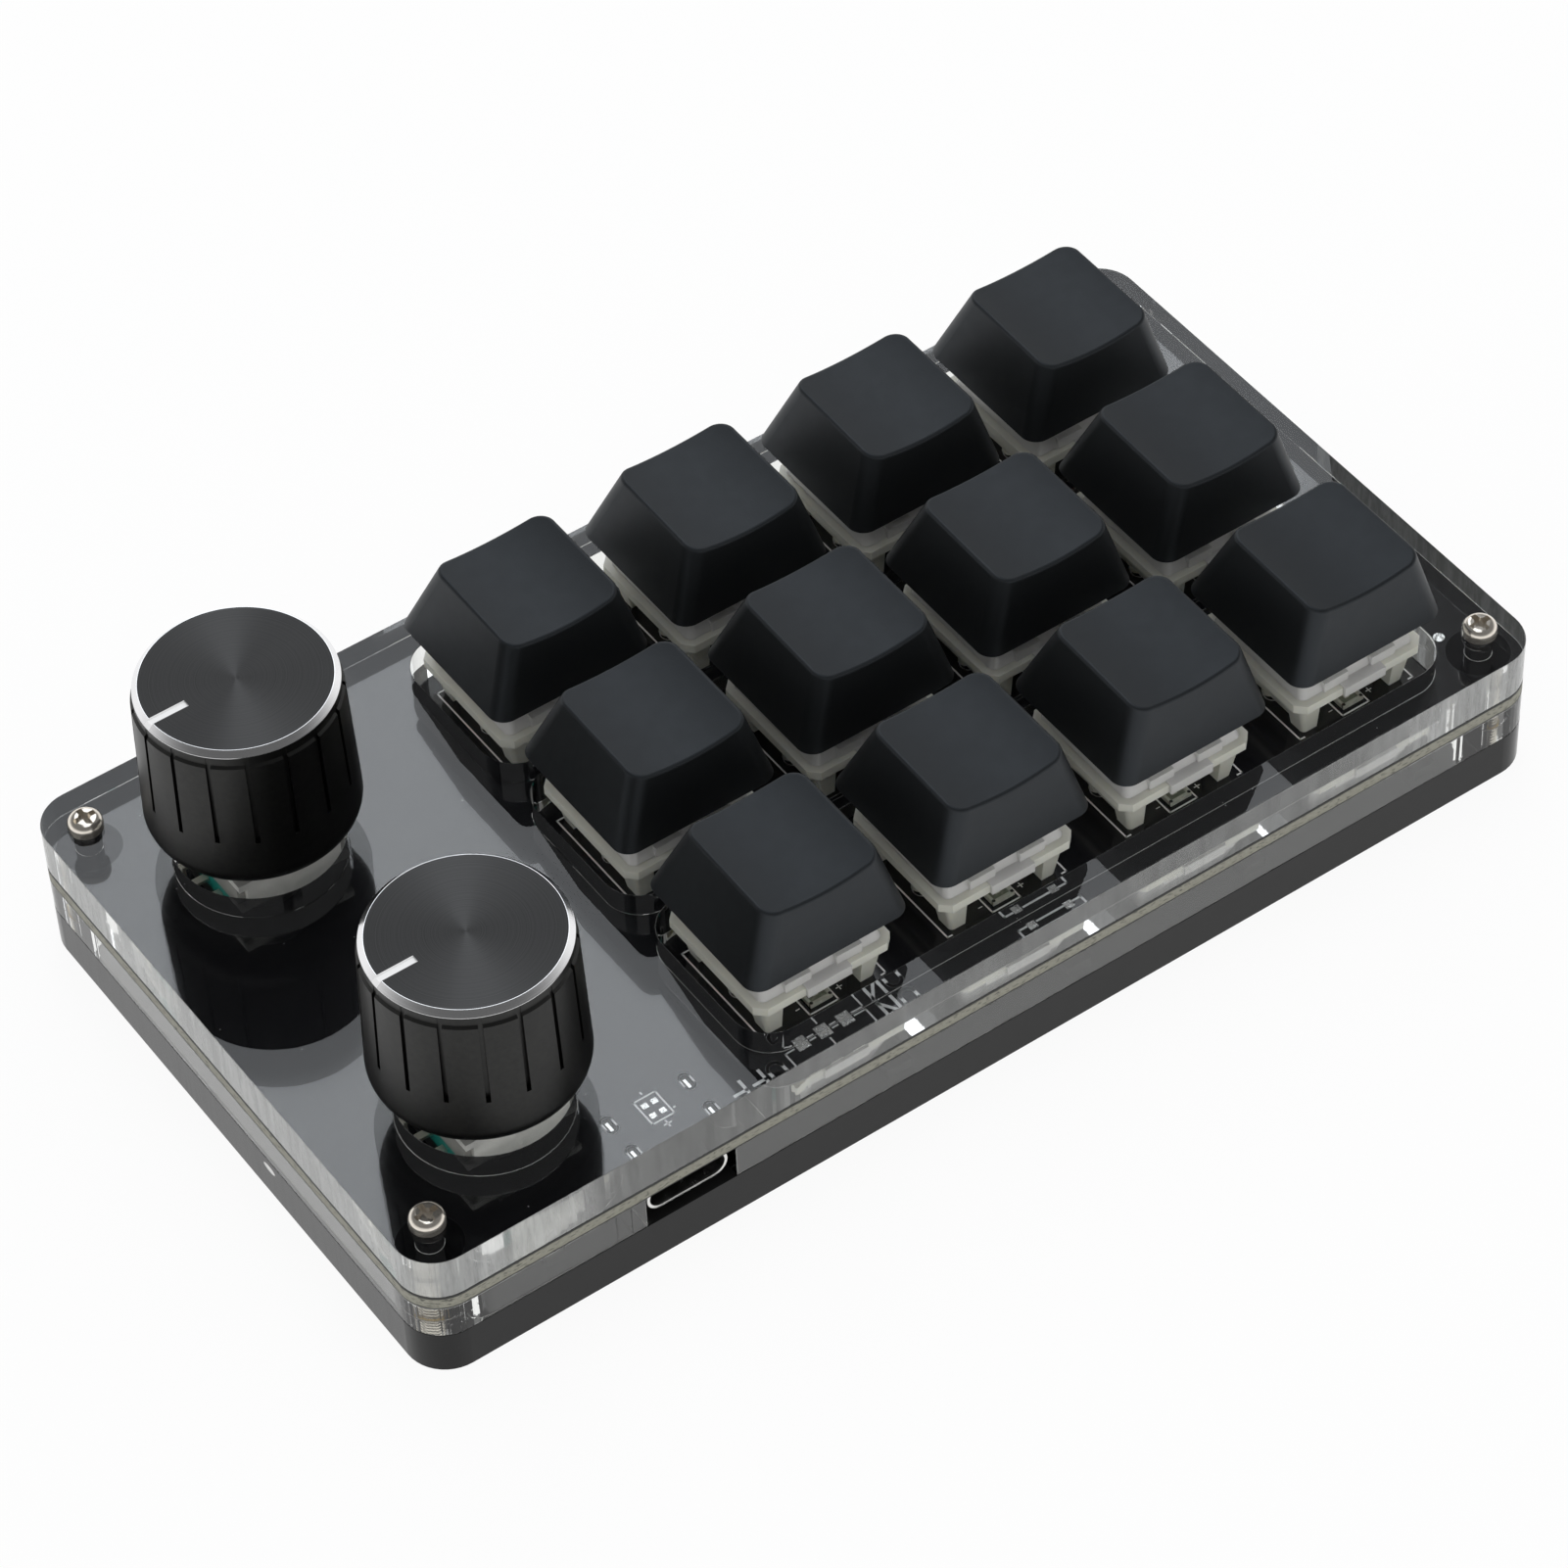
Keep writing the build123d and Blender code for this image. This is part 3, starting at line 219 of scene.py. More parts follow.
class Surface:
    """A material on one Principled shader, with short calls for the nodes that feed it."""

    def __init__(self, name, **constants):
        self.material = bpy.data.materials.new(name)
        self.material.use_nodes = True
        self.tree = self.material.node_tree
        self.shader = self.tree.nodes["Principled BSDF"]
        for key, value in constants.items():
            self.set(key.replace("_", " "), value)

    def set(self, socket, value):
        """Gives a shader socket a constant, or links a node's output to it."""
        self.feed(self.shader.inputs[socket], value)

    def feed(self, socket, value):
        """Links an output, or stores a constant; a colour of three parts gets an alpha."""
        if isinstance(value, bpy.types.NodeSocket):
            self.tree.links.new(value, socket)
            return
        if socket.type == "RGBA" and len(value) == 3:
            value = (*value, 1.0)
        socket.default_value = value

    def node(self, kind, settings=None, **values):
        """Adds a node. settings are its properties and the other values feed its inputs by name."""
        made = self.tree.nodes.new("ShaderNode" + kind)
        for key, value in (settings or {}).items():
            setattr(made, key, value)
        for key, value in values.items():
            self.feed(made.inputs[key.replace("_", " ")], value)
        return made

    def maths(self, operation, *values):
        """One Math node."""
        made = self.node("Math", {"operation": operation})
        for socket, value in zip(made.inputs, values):
            self.feed(socket, value)
        return made.outputs[0]

    def place(self, scale=(1, 1, 1)):
        """Rest coordinates in millimetres, stretched by scale."""
        coordinates = self.node("TexCoord").outputs["Object"]
        factor = tuple(part / MM for part in scale)
        scaled = self.node("VectorMath", {"operation": "MULTIPLY"})
        self.feed(scaled.inputs[0], coordinates)
        scaled.inputs[1].default_value = factor
        return scaled.outputs[0]

    def axes(self, vector):
        """The three parts of a vector."""
        return self.node("SeparateXYZ", Vector=vector).outputs

    def noise(self, size_mm, detail=3.0, stretch=(1, 1, 1), rough=0.55):
        """Noise with features of about this size."""
        made = self.node("TexNoise", Vector=self.place(stretch), Scale=1.0 / size_mm, Detail=detail,
                         Roughness=rough)
        return made.outputs["Fac"]

    def line_noise(self, value, per_mm, detail):
        """Noise that runs along one value only."""
        made = self.node("TexNoise", {"noise_dimensions": "1D"}, W=value, Scale=per_mm, Detail=detail)
        return made.outputs["Fac"]

    def spread(self, value, low, high, to_low, to_high):
        """Maps one range onto another, with soft ends."""
        made = self.node("MapRange", {"interpolation_type": "SMOOTHSTEP"}, Value=value)
        for key, number in zip(("From Min", "From Max", "To Min", "To Max"), (low, high, to_low, to_high)):
            made.inputs[key].default_value = number
        return made.outputs["Result"]

    def uneven(self, noise, low, high):
        """Noise mapped onto a range."""
        return self.spread(noise, NOISE_LOW, NOISE_HIGH, low, high)

    def between(self, mask, off, on):
        """The value off where the mask is zero, and on where it is one."""
        return self.spread(mask, 0.0, 1.0, off, on)

    def offset(self, x, y):
        """Flat vector of two values."""
        return self.node("CombineXYZ", X=x, Y=y).outputs[0]

    def length(self, vector):
        """Length of a vector."""
        return self.node("VectorMath", {"operation": "LENGTH"}, Vector=vector).outputs["Value"]

    def inside(self, value, low, high, soft=0.03):
        """One between low and high, zero outside."""
        rise = self.spread(value, low - soft, low + soft, 0.0, 1.0)
        fall = self.spread(value, high - soft, high + soft, 1.0, 0.0)
        return self.maths("MULTIPLY", rise, fall)

    def blend(self, mask, first, second):
        """Colour that goes from first to second with the mask."""
        made = self.node("Mix", {"data_type": "RGBA"}, Factor=mask)
        self.feed(made.inputs[6], first)
        self.feed(made.inputs[7], second)
        return made.outputs[2]

    def bump(self, height, distance_mm):
        """Feeds the shader's normal from a height."""
        made = self.node("Bump", Height=height, Strength=1.0, Distance=distance_mm * MM)
        self.set("Normal", made.outputs["Normal"])


# ---------------------------------------------------------------- materials

def darker(colour, share):
    """The colour with this share taken off each part."""
    return tuple(part * (1.0 - share) for part in colour)


def moulded_plastic(name, colour, roughness, grain_mm=0.25, grain_depth=0.004, uneven=0.13, **more):
    """Moulded plastic: colour that varies a little, fine grain and uneven gloss."""
    look = Surface(name, **more)
    look.set("Base Color", look.blend(look.noise(4.0, detail=2.0), darker(colour, uneven), colour))
    duller, glossier = roughness * (1.0 + uneven), roughness * (1.0 - uneven)
    look.set("Roughness", look.uneven(look.noise(1.5), glossier, duller))
    look.bump(look.noise(grain_mm, detail=2.0), grain_depth)
    return look


def metal(name, colour, roughness, metallic=1.0, brushed_mm=0.12, depth=0.002, stretch=(1, 1, 0.08)):
    """Bare metal with fine tool marks."""
    look = Surface(name, Metallic=metallic)
    marks = look.noise(brushed_mm, stretch=stretch)
    look.set("Base Color", look.blend(marks, darker(colour, MARKS_SHADE), colour))
    look.set("Roughness", look.uneven(look.noise(0.8), roughness * SMOOTHER, roughness * ROUGHER))
    look.bump(marks, depth)
    return look


def polished_acrylic():
    """Clear sheet face: almost perfect, with a little waviness and scattered dust."""
    look = Surface("acrylic_face", Transmission_Weight=1.0, IOR=ACRYLIC_IOR, Base_Color=(0.97, 0.98, 0.98))
    specks = look.node("TexVoronoi", {"feature": "F1"}, Vector=look.place(), Scale=DUST_CELLS_PER_MM,
                       Randomness=1.0)
    dust = look.spread(specks.outputs["Distance"], DUST_CORE, DUST_RIM, 1.0, 0.0)
    look.set("Roughness", look.between(dust, 0.0, DUST_ROUGHNESS))
    look.bump(look.noise(14.0, detail=1.0), 0.0006)
    return look


def cut_acrylic(name):
    """Clean laser-cut edge of a clear sheet: faint upright striations."""
    look = Surface(name, IOR=ACRYLIC_IOR, Base_Color=CUT_COLOUR, Transmission_Weight=1.0)
    lines = look.noise(0.5, detail=2.0, stretch=UPRIGHT)
    look.set("Roughness", look.uneven(lines, 0.0, 0.05))
    look.bump(lines, 0.004)
    return look


def streaked_acrylic(name):
    """Outer cut edge: hazy streaks at the knob end and the front corners, weaker between, none behind."""
    look = Surface(name, IOR=ACRYLIC_IOR, Base_Color=CUT_COLOUR)
    x, y = look.axes(look.place())[:2]
    knob_end = look.spread(x, KNOB_END_START_X, KNOB_END_FULL_X, 0.0, 1.0)
    by_corner = look.spread(look.maths("ABSOLUTE", x), STREAKS_START_X, STREAKS_FULL_X, CLEAR_SHARE, 1.0)
    front = look.maths("MULTIPLY", look.maths("GREATER_THAN", y, 0.0), by_corner)
    share = look.maths("MAXIMUM", knob_end, front)
    streaks = look.noise(1.1, detail=4.0, stretch=(1, 1, 0.12), rough=0.7)
    haze = look.maths("MULTIPLY", look.spread(streaks, 0.35, 0.65, HAZE_MOST, HAZE_LEAST), share)
    look.set("Transmission Weight", look.maths("SUBTRACT", 1.0, haze))
    lines = look.noise(0.5, detail=2.0, stretch=UPRIGHT)
    look.set("Roughness", look.maths("MULTIPLY", look.uneven(lines, 0.03, 0.12), share))
    look.bump(look.maths("MULTIPLY", lines, share), 0.005)
    return look


def board_mask():
    """Black solder mask, duller where the cover is screwed down on it, and bare laminate on the cut edges."""
    look = Surface("board_mask", IOR=1.5)
    normal = look.axes(look.node("TexCoord").outputs["Normal"])
    edge = look.inside(normal[2], -0.5, 0.5)
    fibres = look.noise(0.5, stretch=(1, 1, 6))
    x, y, z = look.axes(look.place())
    laminate = look.blend(fibres, (0.16, 0.157, 0.125), (0.46, 0.45, 0.37))
    cloud = look.noise(0.35, detail=4.0, stretch=(0.5, 0.5, 2))
    specks = look.spread(cloud, SPECKS_START, SPECKS_FULL, 0.0, SPECKS_SHARE)
    laminate = look.blend(specks, laminate, (0.03, 0.03, 0.025))
    middle = look.inside(z, BOARD_LOW[2] / MM + BORDER_BELOW, BOARD_HIGH[2] / MM - BORDER_ABOVE, BORDER_SOFT)
    laminate = look.blend(middle, (0.02, 0.02, 0.018), laminate)
    mask_colour = look.blend(look.noise(3.0), (0.005, 0.005, 0.006), (0.009, 0.009, 0.010))
    look.set("Base Color", look.blend(edge, mask_colour, laminate))
    from_screw = look.offset(look.maths("SUBTRACT", look.maths("ABSOLUTE", x), SCREW_X),
                             look.maths("SUBTRACT", look.maths("ABSOLUTE", y), SCREW_Y))
    pressed = look.spread(look.length(from_screw), CONTACT_DISC_RADIUS - CONTACT_DISC_SOFT,
                          CONTACT_DISC_RADIUS + CONTACT_DISC_SOFT, 1.0, 0.0)
    look.set("Roughness", look.maths("ADD", look.between(edge, MASK_ROUGHNESS, LAMINATE_ROUGHNESS),
                                     look.maths("MULTIPLY", pressed, CONTACT_ROUGHNESS)))
    look.set("Specular IOR Level", look.between(pressed, 0.5, 0.0))
    look.bump(look.noise(1.6, detail=2.0), 0.0012)
    return look


def black_acrylic():
    """Black sheet with laser-cut edges, and a painted highlight (a small pale oval standing in for a
    reflection) on its knob-end wall.
    """
    look = Surface("black_acrylic", IOR=ACRYLIC_IOR, Specular_IOR_Level=0.2)
    x, y, z = look.axes(look.place())
    # painted highlight: a pale oval in the base colour on the knob-end wall, standing in for a reflection
    height = look.maths("MULTIPLY", look.maths("SUBTRACT", z, PAINTED_GLINT_Z), PAINTED_GLINT_FLATNESS)
    reach = look.length(look.offset(look.maths("SUBTRACT", y, PAINTED_GLINT_Y), height))
    painted_glint = look.maths("MULTIPLY", look.spread(reach, PAINTED_GLINT_FULL, PAINTED_GLINT_END, 1.0, 0.0),
                      look.maths("GREATER_THAN", x, PAINTED_GLINT_WALL_X))
    body = look.blend(look.noise(2.5), (0.008, 0.008, 0.008), (0.014, 0.014, 0.014))
    look.set("Base Color", look.blend(painted_glint, body, (0.85, 0.85, 0.83)))
    lines = look.noise(0.4, stretch=UPRIGHT)
    look.set("Roughness", look.uneven(lines, 0.08, 0.2))
    look.bump(lines, 0.006)
    return look


def screw_metal():
    """Nickel-plated screw: bright head and a fine thread below it."""
    look = Surface("screw_nickel", Metallic=0.88)
    z = look.axes(look.place())[2]
    look.set("Base Color", look.blend(look.noise(0.5), (0.74, 0.68, 0.60), (0.88, 0.83, 0.75)))
    shank = look.spread(z, COVER_TOP / MM - THREAD_START, COVER_TOP / MM, 1.0, 0.0)
    look.set("Roughness", look.between(shank, HEAD_ROUGHNESS, THREAD_ROUGHNESS))
    turns = look.maths("SINE", look.maths("MULTIPLY", z, 2 * pi / THREAD_PITCH))
    look.bump(look.maths("MULTIPLY", turns, shank), THREAD_DEPTH)
    return look


def anodised_knob():
    """Black anodised knob: spun top, bright bevel, painted pointer and turned flutes."""
    look = Surface("knob_anodised", Metallic=1.0, IOR=1.5)
    x, y, z = look.axes(look.place())
    along = look.maths("SUBTRACT", x, KNOB_CENTRE.x / MM)
    across = look.maths("SUBTRACT", look.maths("ABSOLUTE", y), KNOB_CENTRE.y / MM)
    outward = look.offset(along, look.maths("MULTIPLY", across, look.maths("SIGN", y)))
    radius = look.length(outward)
    top = KNOB_TOP / MM
    on_top = look.maths("GREATER_THAN", z, top - BEVEL_DEPTH)
    disc = look.maths("MULTIPLY", look.maths("GREATER_THAN", z, top - DISC_DEPTH),
                      look.inside(radius, -1.0, DISC_RADIUS, RIM_SOFT))
    bevel = look.maths("MULTIPLY", on_top, look.inside(radius, DISC_RADIUS, BEVEL_RADIUS, RIM_SOFT))
    pointer = look.maths("MULTIPLY", look.inside(along, POINTER_START, POINTER_END),
                         look.inside(across, -POINTER_HALF, POINTER_HALF))
    pointer = look.maths("MULTIPLY", pointer, on_top)
    rings = look.line_noise(radius, RINGS_PER_MM, 3.0)
    body = look.blend(look.noise(0.6), (0.030, 0.030, 0.030), (0.046, 0.046, 0.044))
    spun = look.blend(rings, (0.054, 0.054, 0.054), (0.092, 0.092, 0.092))
    colour = look.blend(disc, body, spun)
    colour = look.blend(bevel, colour, (0.86, 0.86, 0.87))
    look.set("Base Color", look.blend(pointer, colour, (0.97, 0.97, 0.97)))
    rough = look.between(disc, BODY_ROUGHNESS, DISC_ROUGHNESS)
    rough = look.maths("MULTIPLY", rough, look.between(bevel, 1.0, BEVEL_FACTOR))
    look.set("Roughness", look.maths("ADD", rough, look.between(pointer, 0.0, POINTER_ROUGHNESS)))
    look.set("Metallic", look.between(pointer, 1.0, 0.0))
    look.set("Anisotropic", look.maths("MULTIPLY", disc, DISC_ANISOTROPY))
    to_world = {"vector_type": "VECTOR", "convert_from": "OBJECT", "convert_to": "WORLD"}
    look.set("Tangent", look.node("VectorTransform", to_world, Vector=outward).outputs[0])
    turning = look.maths("MULTIPLY", look.line_noise(z, TURNING_PER_MM, 2.0), TURNING_SHARE)
    look.bump(look.maths("ADD", look.maths("MULTIPLY", rings, disc), turning), 0.004)
    return look


def encoder_plastic():
    """Encoder body in layers: dark foot, teal middle and grey upper wafer."""
    look = Surface("encoder_plastic", Roughness=0.4)
    height = look.maths("SUBTRACT", look.axes(look.place())[2], BOARD_HIGH[2] / MM)
    cloud = look.noise(1.2)
    foot = look.blend(cloud, (0.010, 0.010, 0.010), (0.018, 0.018, 0.018))
    middle = look.blend(cloud, (0.008, 0.20, 0.165), (0.012, 0.28, 0.23))
    upper = look.blend(cloud, (0.22, 0.22, 0.20), (0.32, 0.32, 0.30))
    colour = look.blend(look.spread(height, *FOOT_TO_MIDDLE, 0.0, 1.0), foot, middle)
    look.set("Base Color", look.blend(look.spread(height, *MIDDLE_TO_UPPER, 0.0, 1.0), colour, upper))
    look.bump(look.noise(0.3), 0.004)
    return look


def light_package():
    """Small light: pale rim, cloudy greenish resin in the window and dark corner contacts."""
    look = Surface("led_package", IOR=1.5, Subsurface_Weight=0.1, Subsurface_Scale=0.3 * MM)
    x, y = look.axes(look.place())[:2]
    low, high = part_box("switch_leds")
    pitch = KEY_PITCH / MM
    length = high[0] / MM - low[0] / MM - (COLUMNS[-1] - 1) * pitch
    width = high[1] / MM - low[1] / MM - (ROWS[-1] - 1) * pitch
    along = look.maths("WRAP", look.maths("SUBTRACT", x, low[0] / MM + length / 2), pitch / 2, -pitch / 2)
    across = look.maths("WRAP", look.maths("SUBTRACT", y, low[1] / MM + width / 2), pitch / 2, -pitch / 2)
    window = look.maths("MULTIPLY", look.inside(along, -WINDOW_HALF_X * length, WINDOW_HALF_X * length),
                        look.inside(across, -WINDOW_HALF_Y * width, WINDOW_HALF_Y * width))
    chip = look.maths("MULTIPLY", look.inside(along, CHIP_LEFT, CHIP_RIGHT),
                      look.inside(across, CHIP_LOW, CHIP_HIGH))
    from_corner = look.offset(look.maths("SUBTRACT", look.maths("ABSOLUTE", along), CORNER_X * length),
                              look.maths("SUBTRACT", look.maths("ABSOLUTE", across), CORNER_Y * width))
    corner = look.spread(look.length(from_corner), CORNER_FULL, CORNER_END, 1.0, 0.0)
    cloud = look.noise(0.6)
    resin = look.blend(cloud, (0.10, 0.115, 0.085), (0.30, 0.32, 0.25))
    rim = look.blend(cloud, (0.40, 0.42, 0.35), (0.62, 0.63, 0.56))
    colour = look.blend(window, rim, resin)
    colour = look.blend(chip, colour, (0.62, 0.62, 0.55))
    look.set("Base Color", look.blend(corner, colour, (0.03, 0.03, 0.03)))
    look.set("Roughness", look.uneven(cloud, 0.12, 0.3))
    look.bump(cloud, 0.01)
    return look


def look_of(name, by_name, by_start):
    """Material of a CAD node, or None where the node is replaced."""
    for start, look in by_start.items():
        if name.startswith(start):
            return look
    return by_name.get(name)


def paint_nodes():
    """Every CAD node that stays gets its material."""
    cap = moulded_plastic("keycap_plastic", (0.0074, 0.0079, 0.0082), 0.5, grain_mm=0.16, grain_depth=0.007,
                          uneven=0.03, Specular_IOR_Level=0.46, Specular_Tint=(0.9, 1.0, 1.11))
    stem = moulded_plastic("stem_plastic", (0.02, 0.02, 0.02), 0.45)
    cream = moulded_plastic("cream_plastic", (0.86, 0.86, 0.77), 0.35, grain_mm=0.5, Subsurface_Weight=0.3,
                            Subsurface_Radius=(1.0, 0.9, 0.7), Subsurface_Scale=0.6 * MM)
    black = moulded_plastic("black_plastic", (0.015, 0.015, 0.015), 0.4)
    teal = encoder_plastic()
    led = light_package()
    screw = screw_metal()
    steel = metal("bracket_steel", (0.88, 0.88, 0.84), 0.5, metallic=0.55, stretch=(1, 0.1, 1))
    socket = metal("socket_steel", (0.82, 0.82, 0.80), 0.22)
    shaft = metal("shaft_steel", (0.75, 0.75, 0.75), 0.25)
    brass = metal("contact_brass", (0.78, 0.60, 0.28), 0.3)
    wire = metal("spring_wire", (0.7, 0.7, 0.7), 0.25)
    tin = metal("terminal_tin", (0.85, 0.83, 0.74), 0.35)
    by_name = {
        "bottom_plate": black_acrylic(), "circuit_board": board_mask(), "plate_screws": screw,
        "screw_inserts": brass, "usb_shell": socket, "usb_tongue": black, "switch_lower_housings": cream,
        "switch_contacts": brass, "switch_leds": led, "encoder_bases": teal, "encoder_brackets": steel,
        "encoder_terminals": tin, "controller_chip": black, "switch_diodes": black, "board_parts": black,
    }
    by_start = {"keycap_": cap, "stem_": stem, "spring_": wire, "encoder_rotor_": black,
                "encoder_shaft_": shaft, "knob_": anodised_knob()}
    for name, node in nodes.items():
        look = look_of(name, by_name, by_start)
        if look:
            for slot in node.material_slots:
                slot.material = look.material


# ---------------------------------------------------------------- clear pieces

def joined_mesh(name):
    """Mesh of a CAD node with its split vertices joined, ready for bevels."""
    work = bmesh.new()
    work.from_mesh(nodes[name].data)
    bmesh.ops.remove_doubles(work, verts=work.verts, dist=SAME_POINT)
    return work


def off_the_board(place, low, high):
    """Air gap under the cover."""
    if place.z < low[2] + TOUCH:
        place.z += AIR_GAP


def off_both_faces(place, low, high):
    """Air gaps under and over the spacer frame."""
    if place.z < low[2] + TOUCH:
        place.z += AIR_GAP
    elif place.z > high[2] - TOUCH:
        place.z -= AIR_GAP


def off_the_flange(place, low, high):
    """Air gap where an upper housing stands on the flange, and where its bar hangs beside it."""
    centre = min(KEY_CENTRES.values(), key=lambda spot: (spot - place.xy).length)
    across = place.y - centre.y
    if place.z < FLANGE_TOP + TOUCH and abs(abs(across) - FLANGE_HALF) < TOUCH:
        place.y += AIR_GAP if across > 0 else -AIR_GAP
    if abs(place.z - FLANGE_TOP) < TOUCH:
        place.z += AIR_GAP


def wall_kind(face):
    """0 for a face of the sheet, 1 for its outer walls and 2 for its inner walls."""
    if abs(face.normal.z) > 0.5:
        return 0
    spot = face.calc_center_median()
    return 1 if abs(spot.x) > OUTER_WALL_X or abs(spot.y) > OUTER_WALL_Y else 2


def clear_piece(name, node, looks, hold_off, bevel):
    """Stands for a clear CAD node, held off its neighbours by an air gap.

    looks are for its faces, its outer walls and its inner walls, and the last is also for the bevels.
    """
    work = joined_mesh(node)
    low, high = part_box(node)
    for vertex in work.verts:
        hold_off(vertex.co, low, high)
    bmesh.ops.dissolve_limit(work, angle_limit=FLAT_ANGLE, verts=work.verts, edges=work.edges)
    for face in work.faces:
        face.material_index = wall_kind(face)
        face.smooth = False
    mesh = bpy.data.meshes.new(name)
    work.to_mesh(mesh)
    work.free()
    for look in looks:
        mesh.materials.append(look.material)
    piece = bpy.data.objects.new(name, mesh)
    bpy.context.collection.objects.link(piece)
    if bevel:
        edge = piece.modifiers.new("edge", "BEVEL")
        edge.width = bevel
        edge.segments = 2
        edge.limit_method = "ANGLE"
        edge.material = len(looks) - 1
    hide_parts(node)
    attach(piece, "base")
    return piece


def clear_housing():
    """Clear switch housing, a little milky from the mould."""
    look = Surface("clear_housing", Transmission_Weight=0.25, IOR=1.5, Subsurface_Weight=0.3,
                   Subsurface_Radius=(1.0, 1.0, 0.9), Subsurface_Scale=0.8 * MM)
    look.set("Base Color", look.blend(look.noise(2.5), (0.88, 0.87, 0.84), (0.97, 0.965, 0.95)))
    look.set("Roughness", look.uneven(look.noise(1.0), 0.08, 0.2))
    look.bump(look.noise(2.0), 0.004)
    return look


def clear_pieces():
    """Cover, spacer frame and the upper housings of the switches."""
    face, clean = polished_acrylic(), cut_acrylic("acrylic_edge")
    hazy = streaked_acrylic("acrylic_outer_edge")
    sheets = (("cover_sheet", "top_plate", (face, hazy, clean, hazy), off_the_board),
              ("spacer_frame", "clear_frame", (face, clean, clean, hazy), off_both_faces))
    for name, node, looks, hold_off in sheets:
        sheet = clear_piece(name, node, looks, hold_off, SHEET_BEVEL)
        sheet.visible_shadow = False
    housing = clear_housing()
    tops = clear_piece("clear_housings", "switch_upper_housings", (housing,) * 3, off_the_flange, 0.0)


# ---------------------------------------------------------------- springs

def coil_springs():
    """Key springs that stand on the housing, copied from the CAD springs with their places baked in."""
    for (column, row), centre in KEY_CENTRES.items():
        node = f"spring_c{column}r{row}"
        coil = bpy.data.objects.new(f"coil_c{column}r{row}", nodes[node].data.copy())
        bpy.context.collection.objects.link(coil)
        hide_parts(node)
        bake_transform(coil)


# ---------------------------------------------------------------- print and pads on the board

def stroke(work, points, width=OUTLINE_WIDTH, closed=False, lift=PRINT_LIFT):
    """Flat line through points given in millimetres, lying on the board."""
    z = BOARD_HIGH[2] + lift
    points = [Vector(point) for point in points]
    ends = points[1:] + points[:1] if closed else points[1:]
    for start, end in zip(points, ends):
        along = (end - start).normalized() * width / 2
        across = Vector((-along.y, along.x))
        corners = (start - along - across, end + along - across, end + along + across, start - along + across)
        work.faces.new([work.verts.new((corner.x * MM, corner.y * MM, z)) for corner in corners])


def ring_points(x, y, length, width):
    """Points round a stadium that stands upright, or a circle if both sizes are the same."""
    straight = max(width - length, 0.0) / 2
    points = []
    for step in range(RING_STEPS):
        angle = 2 * pi * (step + 0.5) / RING_STEPS
        lift = straight if sin(angle) > 0 else -straight
        points.append((x + cos(angle) * length / 2, y + lift + sin(angle) * min(length, width) / 2))
    return points


def letter_strokes(letter, left, low):
    """Strokes of one letter of the words, from its lower left corner, and whether each is closed."""
    right, top = left + LETTER_WIDTH, low + LETTER_HEIGHT
    if letter == "O":
        centre = (left + LETTER_WIDTH / 2, low + LETTER_HEIGHT / 2)
        return [(ring_points(*centre, LETTER_WIDTH, LETTER_HEIGHT), True)]
    if letter == "N":
        return [([(left, low), (left, top), (right, low), (right, top)], False)]
    bar = low + LETTER_HEIGHT * F_BAR_HEIGHT
    return [([(left, low), (left, top), (right, top)], False),
            ([(left, bar), (left + LETTER_WIDTH * F_BAR_LENGTH, bar)], False)]


def print_plus(work, x, y, half, width):
    """Plus sign round a point."""
    stroke(work, [(x - half, y), (x + half, y)], width)
    stroke(work, [(x, y - half), (x, y + half)], width)


def add_piece(name, work, look):
    """Turns finished mesh work into a piece of the fixed stack."""
    mesh = bpy.data.meshes.new(name)
    work.to_mesh(mesh)
    work.free()
    mesh.materials.append(look.material)
    piece = bpy.data.objects.new(name, mesh)
    bpy.context.collection.objects.link(piece)
    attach(piece, "base")


def print_switch(work, x, y):
    """Outline of one switch, a ring at each of its pegs, and the frame and signs of its light."""
    for side, reach in SIDES:
        outer = x + side * reach
        stroke(work, [(outer - side * LOW_TICK, y + SIDE_LOW), (outer, y + SIDE_LOW),
                      (outer, y + SIDE_HIGH), (outer - side * HIGH_TICK, y + SIDE_HIGH)])
        stroke(work, ring_points(x + side * PEG_X, y + PEG_Y, PEG_RING, PEG_RING), PEG_RING_WIDTH, True)
    left, right, low, high = x + LIGHT_LEFT, x + LIGHT_RIGHT, y + LIGHT_LOW, y + LIGHT_HIGH
    stroke(work, [(left, low), (left, high), (right, high), (right, low)])
    print_plus(work, x + PLUS_X, y + SIGN_Y, PLUS_HALF, SIGN_WIDTH)
    stroke(work, [(x + MINUS_LEFT, y + SIGN_Y), (x + MINUS_RIGHT, y + SIGN_Y)], SIGN_WIDTH)


def print_slide_switch(work):
    """The words and the outline at the place for a slide switch, with its three pads left free."""
    for word, left in WORDS:
        for place, letter in enumerate(word):
            for points, closed in letter_strokes(letter, left + place * LETTER_STEP, WORD_Y):
                stroke(work, points, LETTER_LINE, closed)
    stroke(work, [(SLIDE_LEFT, SLIDE_HIGH), (SLIDE_LEFT, SLIDE_LOW), (SLIDE_LEFT_FOOT, SLIDE_LOW)])
    stroke(work, [(SLIDE_RIGHT_FOOT, SLIDE_LOW), (SLIDE_RIGHT, SLIDE_LOW), (SLIDE_RIGHT, SLIDE_HIGH)])
    for x in SLIDE_DASHES:
        stroke(work, [(x, SLIDE_LOW), (x + SLIDE_DASH_LENGTH, SLIDE_LOW)])
    stroke(work, [(SLIDE_MIDDLE_X, SLIDE_MIDDLE_LOW), (SLIDE_MIDDLE_X, SLIDE_HIGH)])


